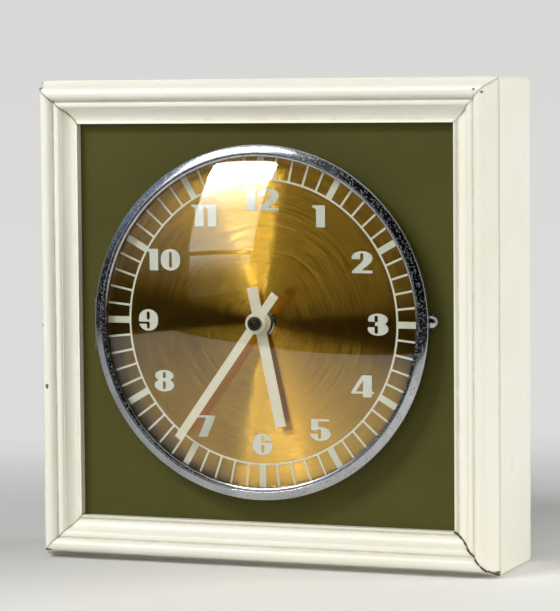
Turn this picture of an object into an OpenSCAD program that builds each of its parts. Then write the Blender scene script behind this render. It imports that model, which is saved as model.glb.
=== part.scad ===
// Square painted wooden clock with a round hinged glass, a numbered dial and a battery movement.
// Millimetres. It stands on its lower edge and faces -Y, with +Z up.
// The origin is the middle of the case's lower face.

/* [Case] */
// Outside width and height of the square case
case_size = 300; // [296:1:330]
// Depth of the case boards behind the moulding
case_depth = 64; // [56:1:90]
// Thickness of the case boards
board_t = 14; // [10:1:16]
// Radius of the rounded outer corners of the boards
corner_r = 3; // [1:0.5:6]
// Width of the moulding, from the outer edge to the sight edge
moulding_w = 27.1; // [26:0.1:32]
// Height of the moulding's crown in front of the boards
moulding_h = 15.5; // [14:0.1:18]
// Radius of the round crown bead
bead_r = 3.95; // [3.5:0.05:4.4]
// Radius of the hollow cove inside the bead
cove_r = 6.7; // [6:0.1:7.2]
// Height of the sight edge in front of the boards
sight_h = 6.5; // [6:0.1:8]
// Depth of the rebate that the panel lies in
rebate = 1; // [0.6:0.1:2]
// Thickness of the coloured panel
panel_t = 3; // [2.5:0.5:4]
// Gap round the panel's edge
panel_gap = 0.5; // [0.2:0.1:1]
// Width of the square battens that hold the panel
batten_w = 10; // [6:1:12]
// Legs of the glued corner blocks
corner_leg = 28; // [20:1:34]
// Length of the corner blocks along the depth
corner_block_l = 36; // [20:1:40]

/* [Hanger] */
// Length of the steel hanger plate
hanger_l = 54; // [44:1:80]
// How far the hanger plate reaches below the top board
hanger_drop = 11; // [10:0.5:14]
// Thickness of the hanger plate
hanger_t = 1.5; // [1:0.1:2.5]
// Radius of the hole for the wall hook
hanger_hole_r = 3; // [2:0.1:4]

/* [Dial] */
// Height of the dial's centre above the lower face
dial_z = 151.2; // [150:0.1:156]
// Distance of the dial's front in front of the panel
dial_stand = 5.3; // [4.8:0.1:6.5]
// Thickness of the pressed dial pan's sheet
pan_t = 1.2; // [0.8:0.1:1.3]
// Thickness of the dial plate
dial_t = 0.8; // [0.5:0.1:1]
// Height of the printed marks
print_t = 0.15; // [0.1:0.05:0.2]
// Distance of the minute circle inside the dial's edge
track_in = 15.4; // [13.5:0.1:17]
// Width of the minute circle's line
track_w = 1.2; // [0.8:0.1:1.6]
// Width of a minute mark
tick_w = 1.3; // [0.8:0.1:1.8]
// Width of an hour mark
hour_mark_w = 4.1; // [3:0.1:5]
// Distance of the numerals' centres inside the minute circle
numeral_in = 12.3; // [11.5:0.1:15]
// Height of the numerals
numeral_h = 13.3; // [10:0.1:14]

/* [Glass and bezel] */
// Gap between the bezel and the moulding's sight edge
sight_gap = 13.9; // [13.2:0.1:15]
// Radius of the rolled bezel band
band_r = 4.2; // [3.8:0.1:4.4]
// Rise of the domed glass from its edge to its middle
dome_rise = 24; // [22:0.5:34]
// Thickness of the glass
glass_t = 2; // [1.5:0.1:2.2]
// Length of the hinge
hinge_l = 32.6; // [28:0.2:44]
// Distance of the hinge's middle below the dial's centre
hinge_drop = 3.2; // [0:0.1:6]
// Radius of the hinge pin
hinge_pin_r = 0.8; // [0.6:0.05:0.9]
// Radius of the thumb tab
tab_r = 4.8; // [4:0.1:6]

/* [Hands] */
// How far the hour hand ends inside the numerals' circle
hour_short = 10; // [0:0.5:20]
// Width of the hour hand
hour_w = 6.9; // [5:0.1:8]
// How far the minute hand reaches past the minute circle
minute_past = 1.7; // [-6:0.1:2.5]
// Width of the minute hand
minute_w = 5.4; // [4:0.1:7]
// Length of both hands' tails
tail_len = 22; // [16:0.5:26]
// Thickness of the hands' sheet
hand_t = 0.7; // [0.5:0.1:0.8]
// Radius of the hour hand's hub
hour_hub_r = 7.4; // [6:0.1:8]
// Radius of the minute hand's hub
minute_hub_r = 6.5; // [5:0.1:7]
// Radius of the hand nut
hand_nut_r = 4.2; // [3.4:0.1:4.8]

/* [Movement] */
// Width of the movement's housing
housing_w = 80; // [80:1:84]
// Height of the movement's housing
housing_h = 80; // [80:1:84]
// Depth of the movement's housing with its cover
housing_d = 30; // [30:0.5:34]
// Wall of the movement's housing
wall = 2; // [1.6:0.1:2.4]
// Radius of the balance discs
balance_r = 11.5; // [9:0.5:12]
// Radius of the setting knob
knob_r = 8; // [6:0.5:10]
// Radius of the battery cell
cell_r = 13.1; // [12.5:0.1:13.1]
// Length of the battery cell without its nub
cell_l = 48.5; // [46:0.5:50]

/* [Hidden] */
$fn = 96;

// Heights h below are measured forward from the dial's front face
panel_h = -dial_stand;
floor_h = panel_h + pan_t;
ledge_h = -dial_t;
rim_h = 1.6;
case_front_y = -case_depth / 2;
dial_y = case_front_y - rebate - dial_stand;
back_y = case_depth / 2;
half = case_size / 2;
inside = case_size - 2 * board_t;
run_gap = 0.05;
loose = 0.3;
eps = 0.01;
arc_steps = 10;
corner_steps = 6;
corner_signs = [[1, 1], [-1, 1], [-1, -1], [1, -1]];
past = 1;

// Panel, battens and corner blocks
panel_half = half - board_t - panel_gap;
batten_y = case_front_y - rebate + panel_t;
batten_gap = 0.2;
pin_r = 0.8;
pin_l = 18;
pin_x = half * 0.55;
block_y = batten_y + batten_w + 1;

// Hanger plate and its screws
hanger_margin = 3;
hanger_z0 = case_size - board_t - hanger_drop;
hanger_z1 = case_size - hanger_margin;
hanger_screw_z = case_size - board_t / 2 - 1;
hanger_screw_x = [-hanger_l / 2 + 8, hanger_l / 2 - 8];
hanger_hole_z = case_size - board_t - hanger_drop / 2;
hanger_screw_r = 1.4;
hanger_screw_l = 14;
countersink_t = hanger_t - 0.1;

// Moulding section
bead_c = [8.55, moulding_h - bead_r];
bead_edge = bead_r - 0.15;
lip_w = 2.6;
cove_c = [moulding_w - lip_w, sight_h + 4.9];

// Hand setting, in degrees clockwise from twelve
minute_angle = 216;
hour_angle = 168;

// Centre stack radii and heights
bush_r = 4;
bush_bore_r = 3;
pipe_r = 2.94;
pipe_bore_r = 2.05;
arbor_r = 2;
nut_r = 8.9;
nut_t = 2;
hour_front_h = 4.6;
minute_front_h = 11.2;
minute_tip_drop = 2.2;
hand_nut_t = 3.6;
arbor_front_h = 13;
arbor_step_h = minute_front_h - hand_t - 2;
arbor_neck_r = 1.5;
collet_r = 3.4;

// Bezel and glass dome, all set in from the bezel's widest part
bezel_r = half - moulding_w - sight_gap;
skirt_r = bezel_r - 4;
glass_r = bezel_r - 5.6;
bezel_in_r = glass_r - 2.05;
glass_edge_r = bezel_in_r + run_gap;
glass_edge_h = 6.7;
dome_r = (glass_edge_r * glass_edge_r + dome_rise * dome_rise) / (2 * dome_rise);
dome_c = glass_edge_h + dome_rise - dome_r;
skirt_back_h = -3.7;
seat_h = 3.3;
band_c = [bezel_r - band_r, 5.2];
tab_at = [bezel_r - 0.4, 2.2];

// Pan ledge, holes, screws and nuts, and the dial that lies on the ledge
pan_r = skirt_r - 0.8;
ledge_in_r = pan_r - 8.2;
panel_hole_r = ledge_in_r - 11;
dial_r = pan_r - pan_t - loose;
track_r = dial_r - track_in;
numeral_r = track_r - numeral_in;
hour_len = numeral_r - hour_short;
minute_len = track_r + minute_past;
pan_screw_at = (ledge_in_r + panel_hole_r) / 2;
pan_screw_r = 1.5;
pan_screw_end = 1;
pan_head_r = 2.8;
pan_head_t = 1.6;
pan_nut_t = 2.4;
pan_nut_r = 3.2;

// Hinge
hinge_x = -bezel_r - 2.6;
hinge_h = -2;
knuckle_r = 1.6;
hinge_end_l = 3.5;
hinge_y0 = -hinge_drop - hinge_l / 2;
leaf_t = 0.8;
leaf_w = knuckle_r - hinge_x - ledge_in_r - pan_t - 0.2;
hinge_screw_r = 1;
hinge_screw_x = -ledge_in_r - pan_t - 4.3;
hinge_screw_dy = 9;

// Movement plan, seen from the front, and its heights
case_back_h = panel_h - housing_d;
cover_t = 2;
cover_h = case_back_h + cover_t;
plate_h = panel_h - wall;
wheel_m = 0.5;
train_m = 0.4;
hour_m = 0.48;
cannon_n = 12;
minute_n = 36;
hour_n = 40;
hour_pinion_n = 10;
centre_n = 64;
third_n = 60;
leaf_n = 8;
minute_dir = 150;
set_dir = 100;
third_dir = -30;
index_dir = 60;
minute_at = polar(wheel_m * (cannon_n + minute_n) / 2, minute_dir);
set_at = minute_at + polar(wheel_m * (cannon_n + minute_n) / 2, set_dir);
third_at = polar(wheel_m * (centre_n + leaf_n) / 2, third_dir);
index_at = third_at + polar(train_m * (third_n + leaf_n) / 2, index_dir);
index_r = 5;
balance_at = [24.4, 11.8];
coil_reach = 7.5;
coil_r = 5;
hour_wheel_h = plate_h - 3.1;
minute_wheel_h = plate_h - 5.5;
centre_wheel_h = plate_h - 7.5;
third_wheel_h = plate_h - 9.9;
index_wheel_h = plate_h - 11.9;
bridge_h = plate_h - 14.1;
bridge_t = 1.2;
disc_a_h = plate_h - 15.7;
disc_b_h = plate_h - 20.5;
disc_t = 0.8;
magnet_t = 0.8;
coil_t = 1.6;
spring_h = disc_b_h - 1.3;
cock_h = plate_h - 22.3;
cock_t = 1.2;
staff_r = 0.9;
pivot_r = 0.7;
pillar_at = [[-26, -14], [-26, 14], [4, -30], [32, -16]];
cock_foot_at = [[15.5, 29], [33, 28]];
corner_post_r = 3;
corner_post_in = wall + corner_post_r - 0.5;
corner_post = [housing_w / 2 - corner_post_in, housing_h / 2 - corner_post_in];
corners = [for (x = [-1, 1], y = [-1, 1]) [x * corner_post[0], y * corner_post[1]]];
board_post_at = [[-28, 29], [4, 29]];
board_at = [-31, 24.5];
board_size = [39, 9, 1.6];
board_h = plate_h - 17;
set_arbor_r = 1.5;
knob_t = 7;
slot_in_r = 11.6;
slot_out_r = 15.4;
slot_half = 32;
lever_tip_r = 13.5;

// Battery bay below the housing
bay_w = 64;
bay_drop = housing_h / 2;
bay_front_h = panel_h - panel_t - 0.4;
cell_gap = 0.4;
cell_at = [0, -(bay_drop + wall + cell_gap + cell_r)];
cell_h = bay_front_h - wall - cell_gap - cell_r;
cell_x0 = -21.5;
nub_l = 1.5;
nub_r = 3.2;
bay_depth = cell_r * 2 + wall + 2;

function polar(r, a) = [r * cos(a), r * sin(a)];

// Points on an ellipse's arc, for outlines
function arc(c, rx, ry, a0, a1, n = arc_steps) =
    [for (i = [0:n]) let (a = a0 + (a1 - a0) * i / n) c + [rx * cos(a), ry * sin(a)]];

// Angle of a tooth on a wheel of n_b teeth that meshes with n_a teeth set at phase_a,
// when the second wheel lies in the given direction from the first
function mesh(n_a, phase_a, dir, n_b) = dir + 180 - (n_a * (phase_a - dir) + 180) / n_b;

minute_phase = mesh(cannon_n, 0, minute_dir, minute_n);
hour_phase = mesh(hour_pinion_n, 0, minute_dir + 180, hour_n);
set_phase = mesh(minute_n, minute_phase, set_dir, cannon_n);
third_phase = mesh(centre_n, 0, third_dir, leaf_n);
index_phase = mesh(third_n, 0, index_dir, leaf_n);

pan_screw_points = [for (a = [45, 135, 225, 315]) polar(pan_screw_at, a)];
hinge_screw_points = [for (y = [-1, 1]) [hinge_screw_x, y * hinge_screw_dy - hinge_drop]];
coil_h = (disc_a_h + disc_b_h - disc_t - coil_t) / 2;

// Puts x right, y up and z forward from the dial's front face
module on_dial() {
    translate([0, dial_y, dial_z])
        rotate([90, 0, 0])
            children();
}

// Moves to a plan point and a height, forward of the dial's face
module at(p, h) {
    translate([p[0], p[1], h])
        children();
}

module rod(p, r, h0, h1) {
    at(p, h0)
        cylinder(r = r, h = h1 - h0);
}

// One of the four sides of the case, turned from the bottom one
module side(turn) {
    translate([0, 0, half])
        rotate([0, turn, 0])
            translate([0, 0, -half])
                children();
}

// The quarter of the case that belongs to the bottom side, cut on the mitres
module mitre_wedge(y0, y1) {
    translate([0, y1, 0])
        rotate([90, 0, 0])
            linear_extrude(height = y1 - y0)
                polygon([[-half, 0], [half, 0], [0, half]]);
}

// The corners are drawn as short flats, so that the lower board has one plain face to stand on
module rounded_case(y0, y1) {
    turn_at = half - corner_r;
    translate([0, y1, half])
        rotate([90, 0, 0])
            linear_extrude(height = y1 - y0)
                polygon([
                    for (quarter = [0:3])
                        each arc(
                            turn_at * corner_signs[quarter],
                            corner_r, corner_r, 90 * quarter, 90 * quarter + 90, corner_steps
                        )
                ]);
}

// Mitred board with holes for the battens' pins
module board(turn) {
    intersection() {
        side(turn)
            difference() {
                intersection() {
                    translate([-half, case_front_y, 0])
                        cube([case_size, case_depth, board_t]);
                    mitre_wedge(case_front_y - past, back_y + past);
                }
                three_pins();
            }
        rounded_case(case_front_y, back_y);
    }
}

module case_board_bottom() {
    color("ivory")
        board(0);
}

module case_board_right() {
    color("ivory")
        board(-90);
}

// The top board has a shallow pocket that lets the hanger plate in flush
module case_board_top() {
    color("ivory")
        difference() {
            board(180);
            translate([-hanger_l / 2 - loose, back_y - hanger_t, case_size - board_t - past])
                cube([hanger_l + 2 * loose, hanger_t + past, hanger_z1 + loose - case_size + board_t + past]);
            for (x = hanger_screw_x)
                translate([x, back_y - hanger_t + eps, hanger_screw_z])
                    rotate([90, 0, 0])
                        cylinder(r = hanger_screw_r, h = hanger_screw_l + 0.5);
        }
}

module case_board_left() {
    color("ivory")
        board(90);
}

// The moulding's solids are drawn inward from the outer edge and forward from the boards
module moulding_length() {
    linear_extrude(height = case_size, center = true)
        children();
}

module moulding_body() {
    shoulder = bead_c[1] - 0.5;
    step = bead_c[1] - 1.3;
    polygon([
        [0.6, 0],
        [1.3, 1.1],
        [bead_c[0] - bead_edge, bead_c[1] - 0.4],
        [bead_c[0] + bead_edge, shoulder],
        [13.5, shoulder],
        [13.9, bead_c[1] + 0.1],
        [14.6, bead_c[1] + 0.35],
        [16.2, bead_c[1] + 0.1],
        [17.0, shoulder],
        [17.5, step],
        [cove_c[0], step],
        [cove_c[0], rebate],
        [board_t + loose, rebate],
        [board_t + loose, 0]
    ]);
}

// The sight edge stands up beside the cove
module moulding_lip() {
    polygon([
        [cove_c[0] - eps, rebate],
        [cove_c[0] - eps, sight_h - 1.8],
        [cove_c[0] + 0.6, sight_h - 1.7],
        [cove_c[0] + 1.7, sight_h - 0.2],
        [moulding_w, sight_h],
        [moulding_w, rebate]
    ]);
}

module moulding_bar() {
    difference() {
        union() {
            moulding_length()
                moulding_body();
            moulding_length()
                translate(bead_c)
                    circle(bead_r);
        }
        moulding_length()
            translate(cove_c)
                circle(cove_r);
    }
    moulding_length()
        moulding_lip();
}

module moulding(turn) {
    color("ivory")
        side(turn)
            intersection() {
                translate([0, case_front_y, 0])
                    rotate(a = 180, v = [1, 0, 1])
                        moulding_bar();
                mitre_wedge(case_front_y - moulding_h - past, case_front_y + past);
            }
}

module moulding_bottom() {
    moulding(0);
}

module moulding_right() {
    moulding(-90);
}

module moulding_top() {
    moulding(180);
}

module moulding_left() {
    moulding(90);
}

// Square coloured board behind the moulding, with a round hole for the movement
module colour_panel() {
    color("darkolivegreen")
        difference() {
            translate([-panel_half, case_front_y - rebate, half - panel_half])
                cube([2 * panel_half, panel_t, 2 * panel_half]);
            on_dial()
                rod([0, 0], panel_hole_r, panel_h - panel_t - 1, panel_h + 1);
            on_dial()
                for (p = pan_screw_points)
                    rod(p, pan_screw_r, panel_h - panel_t - 1, panel_h + 1);
            on_dial()
                for (p = hinge_screw_points)
                    rod(p, hinge_screw_r, panel_h - panel_t - 1, panel_h + 1);
        }
}

// Square bars, the upright ones between the level ones
module panel_battens() {
    color("burlywood") {
        for (turn = [0, 180])
            side(turn)
                batten(inside - 2 * batten_gap);
        for (turn = [90, 270])
            side(turn)
                batten(inside - 2 * batten_w - 2 * batten_gap);
    }
}

module batten(length) {
    difference() {
        translate([-length / 2, batten_y, board_t])
            cube([length, batten_w, batten_w]);
        three_pins();
    }
}

module three_pins() {
    for (x = [-pin_x, 0, pin_x])
        translate([x, batten_y + batten_w / 2, board_t + batten_w - pin_l])
            cylinder(r = pin_r, h = pin_l);
}

// Wire pins that hold the battens to the boards
module batten_pins() {
    color("silver")
        for (turn = [0, 90, 180, 270])
            side(turn)
                three_pins();
}

module corner_blocks() {
    color("burlywood")
        for (turn = [0, 90, 180, 270])
            side(turn)
                translate([half - board_t, block_y + corner_block_l, board_t])
                    rotate([90, 0, 0])
                        linear_extrude(height = corner_block_l)
                            polygon([[0, 0], [0, corner_leg], [-corner_leg, 0]]);
}

// Flat steel plate with a hole for a wall hook, let into the top board's back edge
module hanger_plate() {
    color("silver")
        difference() {
            translate([-hanger_l / 2, back_y - hanger_t, hanger_z0])
                cube([hanger_l, hanger_t, hanger_z1 - hanger_z0]);
            translate([0, back_y + past, hanger_hole_z])
                rotate([90, 0, 0])
                    cylinder(r = hanger_hole_r, h = hanger_t + 2 * past);
            for (x = hanger_screw_x)
                translate([x, back_y, hanger_screw_z])
                    rotate([90, 0, 0])
                        countersink();
        }
}

module countersink() {
    hole_r = hanger_screw_r + run_gap;
    head_r = 2 * hanger_screw_r + run_gap;
    rotate_extrude()
        polygon([
            [0, -past],
            [head_r, -past],
            [head_r, 0],
            [hole_r, countersink_t],
            [hole_r, hanger_t + past],
            [0, hanger_t + past]
        ]);
}

module hanger_screws() {
    color("silver")
        for (x = hanger_screw_x)
            translate([x, back_y, hanger_screw_z])
                rotate([90, 0, 0])
                    difference() {
                        rotate_extrude()
                            polygon([
                                [0, 0],
                                [2 * hanger_screw_r, 0],
                                [hanger_screw_r, countersink_t],
                                [hanger_screw_r, hanger_screw_l - 3],
                                [0, hanger_screw_l]
                            ]);
                        translate([-2 * hanger_screw_r, -0.3, -0.1])
                            cube([4 * hanger_screw_r, 0.6, 0.6]);
                    }
}

// Spun pan: floor on the panel, a ledge for the dial and a rim inside the bezel
module dial_pan() {
    color("gainsboro")
        on_dial()
            difference() {
                rotate_extrude($fn = 180)
                    polygon([
                        [bush_r + run_gap, panel_h],
                        [ledge_in_r + pan_t, panel_h],
                        [ledge_in_r + pan_t, ledge_h - pan_t],
                        [pan_r, ledge_h - pan_t],
                        [pan_r, rim_h],
                        [pan_r - pan_t, rim_h],
                        [pan_r - pan_t, ledge_h],
                        [ledge_in_r, ledge_h],
                        [ledge_in_r, floor_h],
                        [bush_r + run_gap, floor_h]
                    ]);
                for (p = pan_screw_points)
                    rod(p, pan_screw_r, panel_h - 1, floor_h + 1);
            }
}

module pan_screws() {
    color("silver")
        on_dial()
            for (p = pan_screw_points)
                difference() {
                    union() {
                        rod(p, pan_screw_r - run_gap, panel_h - panel_t - pan_nut_t - pan_screw_end, floor_h + eps);
                        rod(p, pan_head_r, floor_h, floor_h + pan_head_t);
                    }
                    at([p[0] - 3, p[1] - 0.35], floor_h + pan_head_t - 0.7)
                        cube([6, 0.7, 1]);
                }
}

module pan_nuts() {
    color("silver")
        on_dial()
            for (p = pan_screw_points)
                difference() {
                    at(p, panel_h - panel_t - pan_nut_t)
                        cylinder(r = pan_nut_r, h = pan_nut_t, $fn = 6);
                    rod(p, pan_screw_r, panel_h - panel_t - pan_nut_t - 1, panel_h - panel_t + 1);
                }
}

// Sleeve on the bush that backs the middle of the dial
module dial_spacer() {
    color("goldenrod")
        on_dial()
            difference() {
                rod([0, 0], nut_r, floor_h, ledge_h);
                rod([0, 0], bush_r + run_gap, floor_h - 1, ledge_h + 1);
            }
}

module dial_plate() {
    color("darkgoldenrod")
        on_dial()
            difference() {
                rod([0, 0], dial_r, ledge_h, 0);
                rod([0, 0], bush_r + run_gap, ledge_h - 1, 1);
            }
}

// Printed minute circle with sixty marks that run outward under the bezel
module minute_track() {
    mark_end = dial_r - 0.4;
    color("ivory")
        on_dial()
            linear_extrude(height = print_t)
                union() {
                    difference() {
                        circle(track_r + track_w / 2, $fn = 180);
                        circle(track_r - track_w / 2, $fn = 180);
                    }
                    for (i = [0:59])
                        rotate(-6 * i)
                            track_mark(i % 5 == 0 ? hour_mark_w : tick_w, mark_end);
                }
}

module track_mark(w, end_r) {
    translate([-w / 2, track_r])
        square([w, end_r - track_r]);
}

// Upright slot with round ends, for the digits' counters
module slot(x, w, y0, y1) {
    translate([x - w / 2, y0 + w / 2])
        square([w, y1 - y0 - w]);
    for (y = [y0 + w / 2, y1 - w / 2])
        translate([x, y])
            circle(w / 2);
}

// Digits are drawn 13.3 high from their lower left corner
digit_h = 13.3;
digit_w = [12.7, 8, 13.5, 13.3, 14.6, 13.4, 13, 12.2, 13, 13];

module digit_0() {
    difference() {
        oval_outline();
        slot(6.35, 1.9, 1.7, 11.6);
    }
}

module oval_outline() {
    polygon(concat(
        arc([6.35, 7.8], 6.35, 5.5, 0, 180, 16),
        arc([6.35, 5.5], 6.35, 5.5, 180, 360, 16)
    ));
}

module digit_1() {
    polygon(concat(
        [[2.4, 0], [8, 0], [8, 13.3], [0, 13.3], [0, 12]],
        arc([0.2, 10.2], 2.1, 1.8, 90, 0, 6)
    ));
}

module digit_2() {
    polygon(concat(
        [[0.3, 8.5]],
        arc([6.9, 9.3], 6.6, 4, 180, 0, 18),
        [[13.2, 7.9], [12.2, 6.4], [10.2, 4.6], [7.3, 2.4], [6.7, 1.7]],
        [[13.4, 1.7], [13.4, 0], [0.4, 0], [0.4, 1.2]],
        [[5, 5.2], [7.1, 7.2], [7.8, 9.2]],
        arc([6.7, 10.9], 1.1, 1.3, 0, 180, 8),
        [[5.6, 8.5]]
    ));
}

module digit_3() {
    difference() {
        union() {
            polygon(arc([6.6, 9.7], 6.3, 3.6, 0, 360, 28));
            polygon(arc([6.7, 4], 6.6, 4, 0, 360, 28));
        }
        slot(5.5, 2.2, 8, 12.2);
        slot(5.5, 2.2, 1.1, 6);
        translate([-1, 5])
            square([5.8, 3.4]);
    }
}

module digit_4() {
    difference() {
        polygon([
            [0, 2.1], [0, 3.2], [6.9, 13.3], [13.1, 13.3], [13.1, 3.4], [14.6, 3.4],
            [14.6, 2.1], [13.1, 2.1], [13.1, 0], [7.5, 0], [7.5, 2.1]
        ]);
        polygon([[2.8, 3.4], [7.6, 3.4], [7.6, 10.2]]);
    }
}

module digit_5() {
    difference() {
        union() {
            translate([0.8, 12])
                square([11.8, 1.3]);
            translate([0.8, 6.4])
                square([4.6, 5.8]);
            polygon(arc([6.8, 4.2], 6.6, 4.2, 0, 360, 28));
        }
        slot(6.2, 2.2, 1.2, 7.2);
        translate([-1, 4.3])
            square([6.2, 2.1]);
    }
}

module digit_6() {
    difference() {
        oval_outline();
        slot(6.5, 2, 1.4, 6.4);
        slot(6.5, 2, 7.7, 12);
        translate([6.5, 7.7])
            square([8, 1.4]);
    }
}

module digit_7() {
    polygon([
        [0, 13.3], [12.2, 13.3], [12.2, 12], [6.9, 0], [1.1, 0], [6.6, 12], [0, 12]
    ]);
}

module digit_8() {
    difference() {
        union() {
            polygon(arc([6.5, 9.8], 6.1, 3.5, 0, 360, 28));
            polygon(arc([6.5, 3.9], 6.5, 3.9, 0, 360, 28));
        }
        slot(6.5, 2, 8.1, 12.1);
        slot(6.5, 2, 1.3, 6.3);
    }
}

module digit_9() {
    translate([12.7, 13.3])
        rotate(180)
            digit_6();
}

module digit(d) {
    if (d == 0) digit_0();
    if (d == 1) digit_1();
    if (d == 2) digit_2();
    if (d == 3) digit_3();
    if (d == 4) digit_4();
    if (d == 5) digit_5();
    if (d == 6) digit_6();
    if (d == 7) digit_7();
    if (d == 8) digit_8();
    if (d == 9) digit_9();
}

// One or two digits, centred on the origin
module number(tens, ones, gap) {
    total = tens > 0 ? digit_w[tens] + gap + digit_w[ones] : digit_w[ones];
    scale(numeral_h / digit_h)
        translate([-total / 2, -digit_h / 2]) {
            if (tens > 0)
                digit(tens);
            translate([total - digit_w[ones], 0])
                digit(ones);
        }
}

module numerals() {
    color("ivory")
        on_dial()
            linear_extrude(height = print_t)
                intersection() {
                    for (n = [1:12])
                        translate(polar(numeral_r, 90 - 30 * n))
                            number(n > 9 ? 1 : 0, n % 10, n == 11 ? 0.4 : 1.9);
                    circle(track_r - track_w / 2 - 0.1, $fn = 180);
                }
}

// Round chromed nut that clamps dial, pan and movement on the bush
module dial_nut() {
    color("silver")
        on_dial()
            difference() {
                rotate_extrude()
                    polygon([
                        [bush_r + run_gap, 0],
                        [nut_r - 0.3, 0],
                        [nut_r, 0.3],
                        [nut_r, nut_t - 0.6],
                        [nut_r - 0.6, nut_t],
                        [bush_r + run_gap, nut_t]
                    ]);
                for (a = [20, 200])
                    rotate(a)
                        at([nut_r - 1.2, -1], nut_t - 1)
                            cube([3, 2, 2]);
            }
}

// The bezel's section outside its glass seat, also used to fit what joins it
module bezel_outline() {
    polygon([
        [skirt_r - 12, skirt_back_h],
        [skirt_r + 1.6, skirt_back_h],
        [skirt_r + 2.7, -0.8],
        [bezel_r - 0.25, 3],
        [bezel_r - 0.05, band_c[1]],
        [band_c[0], band_c[1] + 2],
        [bezel_in_r + 1.6, 8.25],
        [bezel_in_r + 0.5, 7.9],
        [bezel_in_r, 7.4],
        [bezel_in_r, 0],
        [skirt_r - 12, 0]
    ]);
    translate(band_c)
        circle(band_r);
}

module bezel_ring() {
    color("silver")
        on_dial()
            rotate_extrude($fn = 180)
                difference() {
                    bezel_outline();
                    polygon([
                        [0, skirt_back_h - 1],
                        [skirt_r, skirt_back_h - 1],
                        [skirt_r, seat_h],
                        [glass_r + 0.2, seat_h],
                        [glass_r + 0.2, 5.8],
                        [glass_r, 5.8],
                        [bezel_in_r, 6.85],
                        [bezel_in_r, 7.4],
                        [bezel_in_r + 0.5, 7.9],
                        [bezel_in_r + 1.6, 8.25],
                        [bezel_in_r + 1.8, 8],
                        [bezel_in_r + 2.15, 8.2],
                        [bezel_in_r + 2.2, 12],
                        [0, 12]
                    ]);
                }
}

// Thin shell cut from a sphere
module dome_glass() {
    color([0.8, 0.9, 0.9, 0.3])
        on_dial()
            rotate_extrude($fn = 180)
                intersection() {
                    translate([0, dome_c])
                        difference() {
                            circle(dome_r, $fn = 720);
                            circle(dome_r - glass_t, $fn = 720);
                        }
                    square([glass_r, glass_edge_h + dome_rise + past]);
                }
}

// Sprung ring behind the glass's edge
module glass_retainer() {
    color("dimgray")
        on_dial()
            rotate_extrude($fn = 180)
                polygon([
                    [glass_r - 2.4, 4.6 - glass_t / 8],
                    [glass_r, 3.2],
                    [skirt_r - 0.05, 3.2],
                    [skirt_r - 0.05, 2.2],
                    [glass_r - 0.2, 2.2],
                    [glass_r - 2.4, 3.2]
                ]);
}

// Half round tab at three o'clock for opening the glass
module thumb_tab() {
    color("silver")
        on_dial()
            difference() {
                intersection() {
                    at(tab_at, -1.2)
                        sphere(tab_r);
                    at([tab_at[0] - 3, tab_at[1] - tab_r - 1], -2.4)
                        cube([tab_r + 4, 2 * tab_r + 2, tab_r + 2]);
                }
                rotate_extrude($fn = 180)
                    bezel_outline();
                rod([0, 0], skirt_r, -4, 1);
            }
}

// Bent leaf spring on the pan's rim behind the tab
module bezel_catch() {
    color("silver")
        on_dial()
            intersection() {
                difference() {
                    rod([0, 0], pan_r + 0.5, ledge_h - 1, rim_h - 0.4);
                    rod([0, 0], pan_r + 2 * eps, ledge_h - 2, rim_h);
                }
                at([pan_r - 10, -8], ledge_h - 2)
                    cube([20, 16, 6]);
            }
}

module upright(r, y0, y1) {
    translate([hinge_x, y1, hinge_h])
        rotate([90, 0, 0])
            cylinder(r = r, h = y1 - y0);
}

// Leaf under the bezel with the two end knuckles
module hinge_leaf_fixed() {
    color("silver")
        on_dial()
            difference() {
                union() {
                    at([hinge_x - knuckle_r, hinge_y0], panel_h)
                        cube([leaf_w, hinge_l, leaf_t]);
                    for (y = [hinge_y0, hinge_y0 + hinge_l - hinge_end_l]) {
                        at([hinge_x - knuckle_r, y], panel_h)
                            cube([2 * knuckle_r, hinge_end_l, hinge_h - panel_h]);
                        upright(knuckle_r, y, y + hinge_end_l);
                    }
                }
                rod([0, 0], ledge_in_r + pan_t, panel_h - 1, panel_h + 3);
                upright(hinge_pin_r, hinge_y0 - 1, hinge_y0 + hinge_l + 1);
                for (p = hinge_screw_points)
                    rod(p, hinge_screw_r, panel_h - 1, panel_h + 2);
            }
}

// Leaf on the bezel's skirt with the long middle knuckle
module hinge_leaf_bezel() {
    y0 = hinge_y0 + hinge_end_l + 0.2;
    y1 = hinge_y0 + hinge_l - hinge_end_l - 0.2;
    color("silver")
        on_dial()
            difference() {
                union() {
                    upright(knuckle_r - 0.2, y0, y1);
                    at([hinge_x, y0], hinge_h - 0.9)
                        cube([6, y1 - y0, leaf_t]);
                }
                rotate_extrude($fn = 180)
                    bezel_outline();
                rod([0, 0], skirt_r, -4, 1);
                upright(hinge_pin_r + run_gap, y0 - 1, y1 + 1);
            }
}

module hinge_pin() {
    color("silver")
        on_dial()
            upright(hinge_pin_r, hinge_y0 - 0.4, hinge_y0 + hinge_l + 0.4);
}

module hinge_screws() {
    color("silver")
        on_dial()
            for (p = hinge_screw_points) {
                rod(p, hinge_screw_r, panel_h - panel_t, panel_h + leaf_t + eps);
                rod(p, 1.9, panel_h + leaf_t, panel_h + leaf_t + 0.7);
            }
}

// Flat bar hand pointing up, with a square tail and a round hub
module hand_plan(len, w, hub_r) {
    translate([-w / 2, -tail_len])
        square([w, len + tail_len]);
    circle(hub_r);
}

module hour_hand() {
    color("ivory")
        on_dial()
            rotate(-hour_angle)
                difference() {
                    union() {
                        at([0, 0], hour_front_h - hand_t)
                            linear_extrude(height = hand_t)
                                hand_plan(hour_len, hour_w, hour_hub_r);
                        rod([0, 0], pipe_r + 1.6, hour_front_h - hand_t - 1.2, hour_front_h - hand_t + eps);
                    }
                    rod([0, 0], pipe_r, 0, hour_front_h + 1);
                }
}

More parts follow.
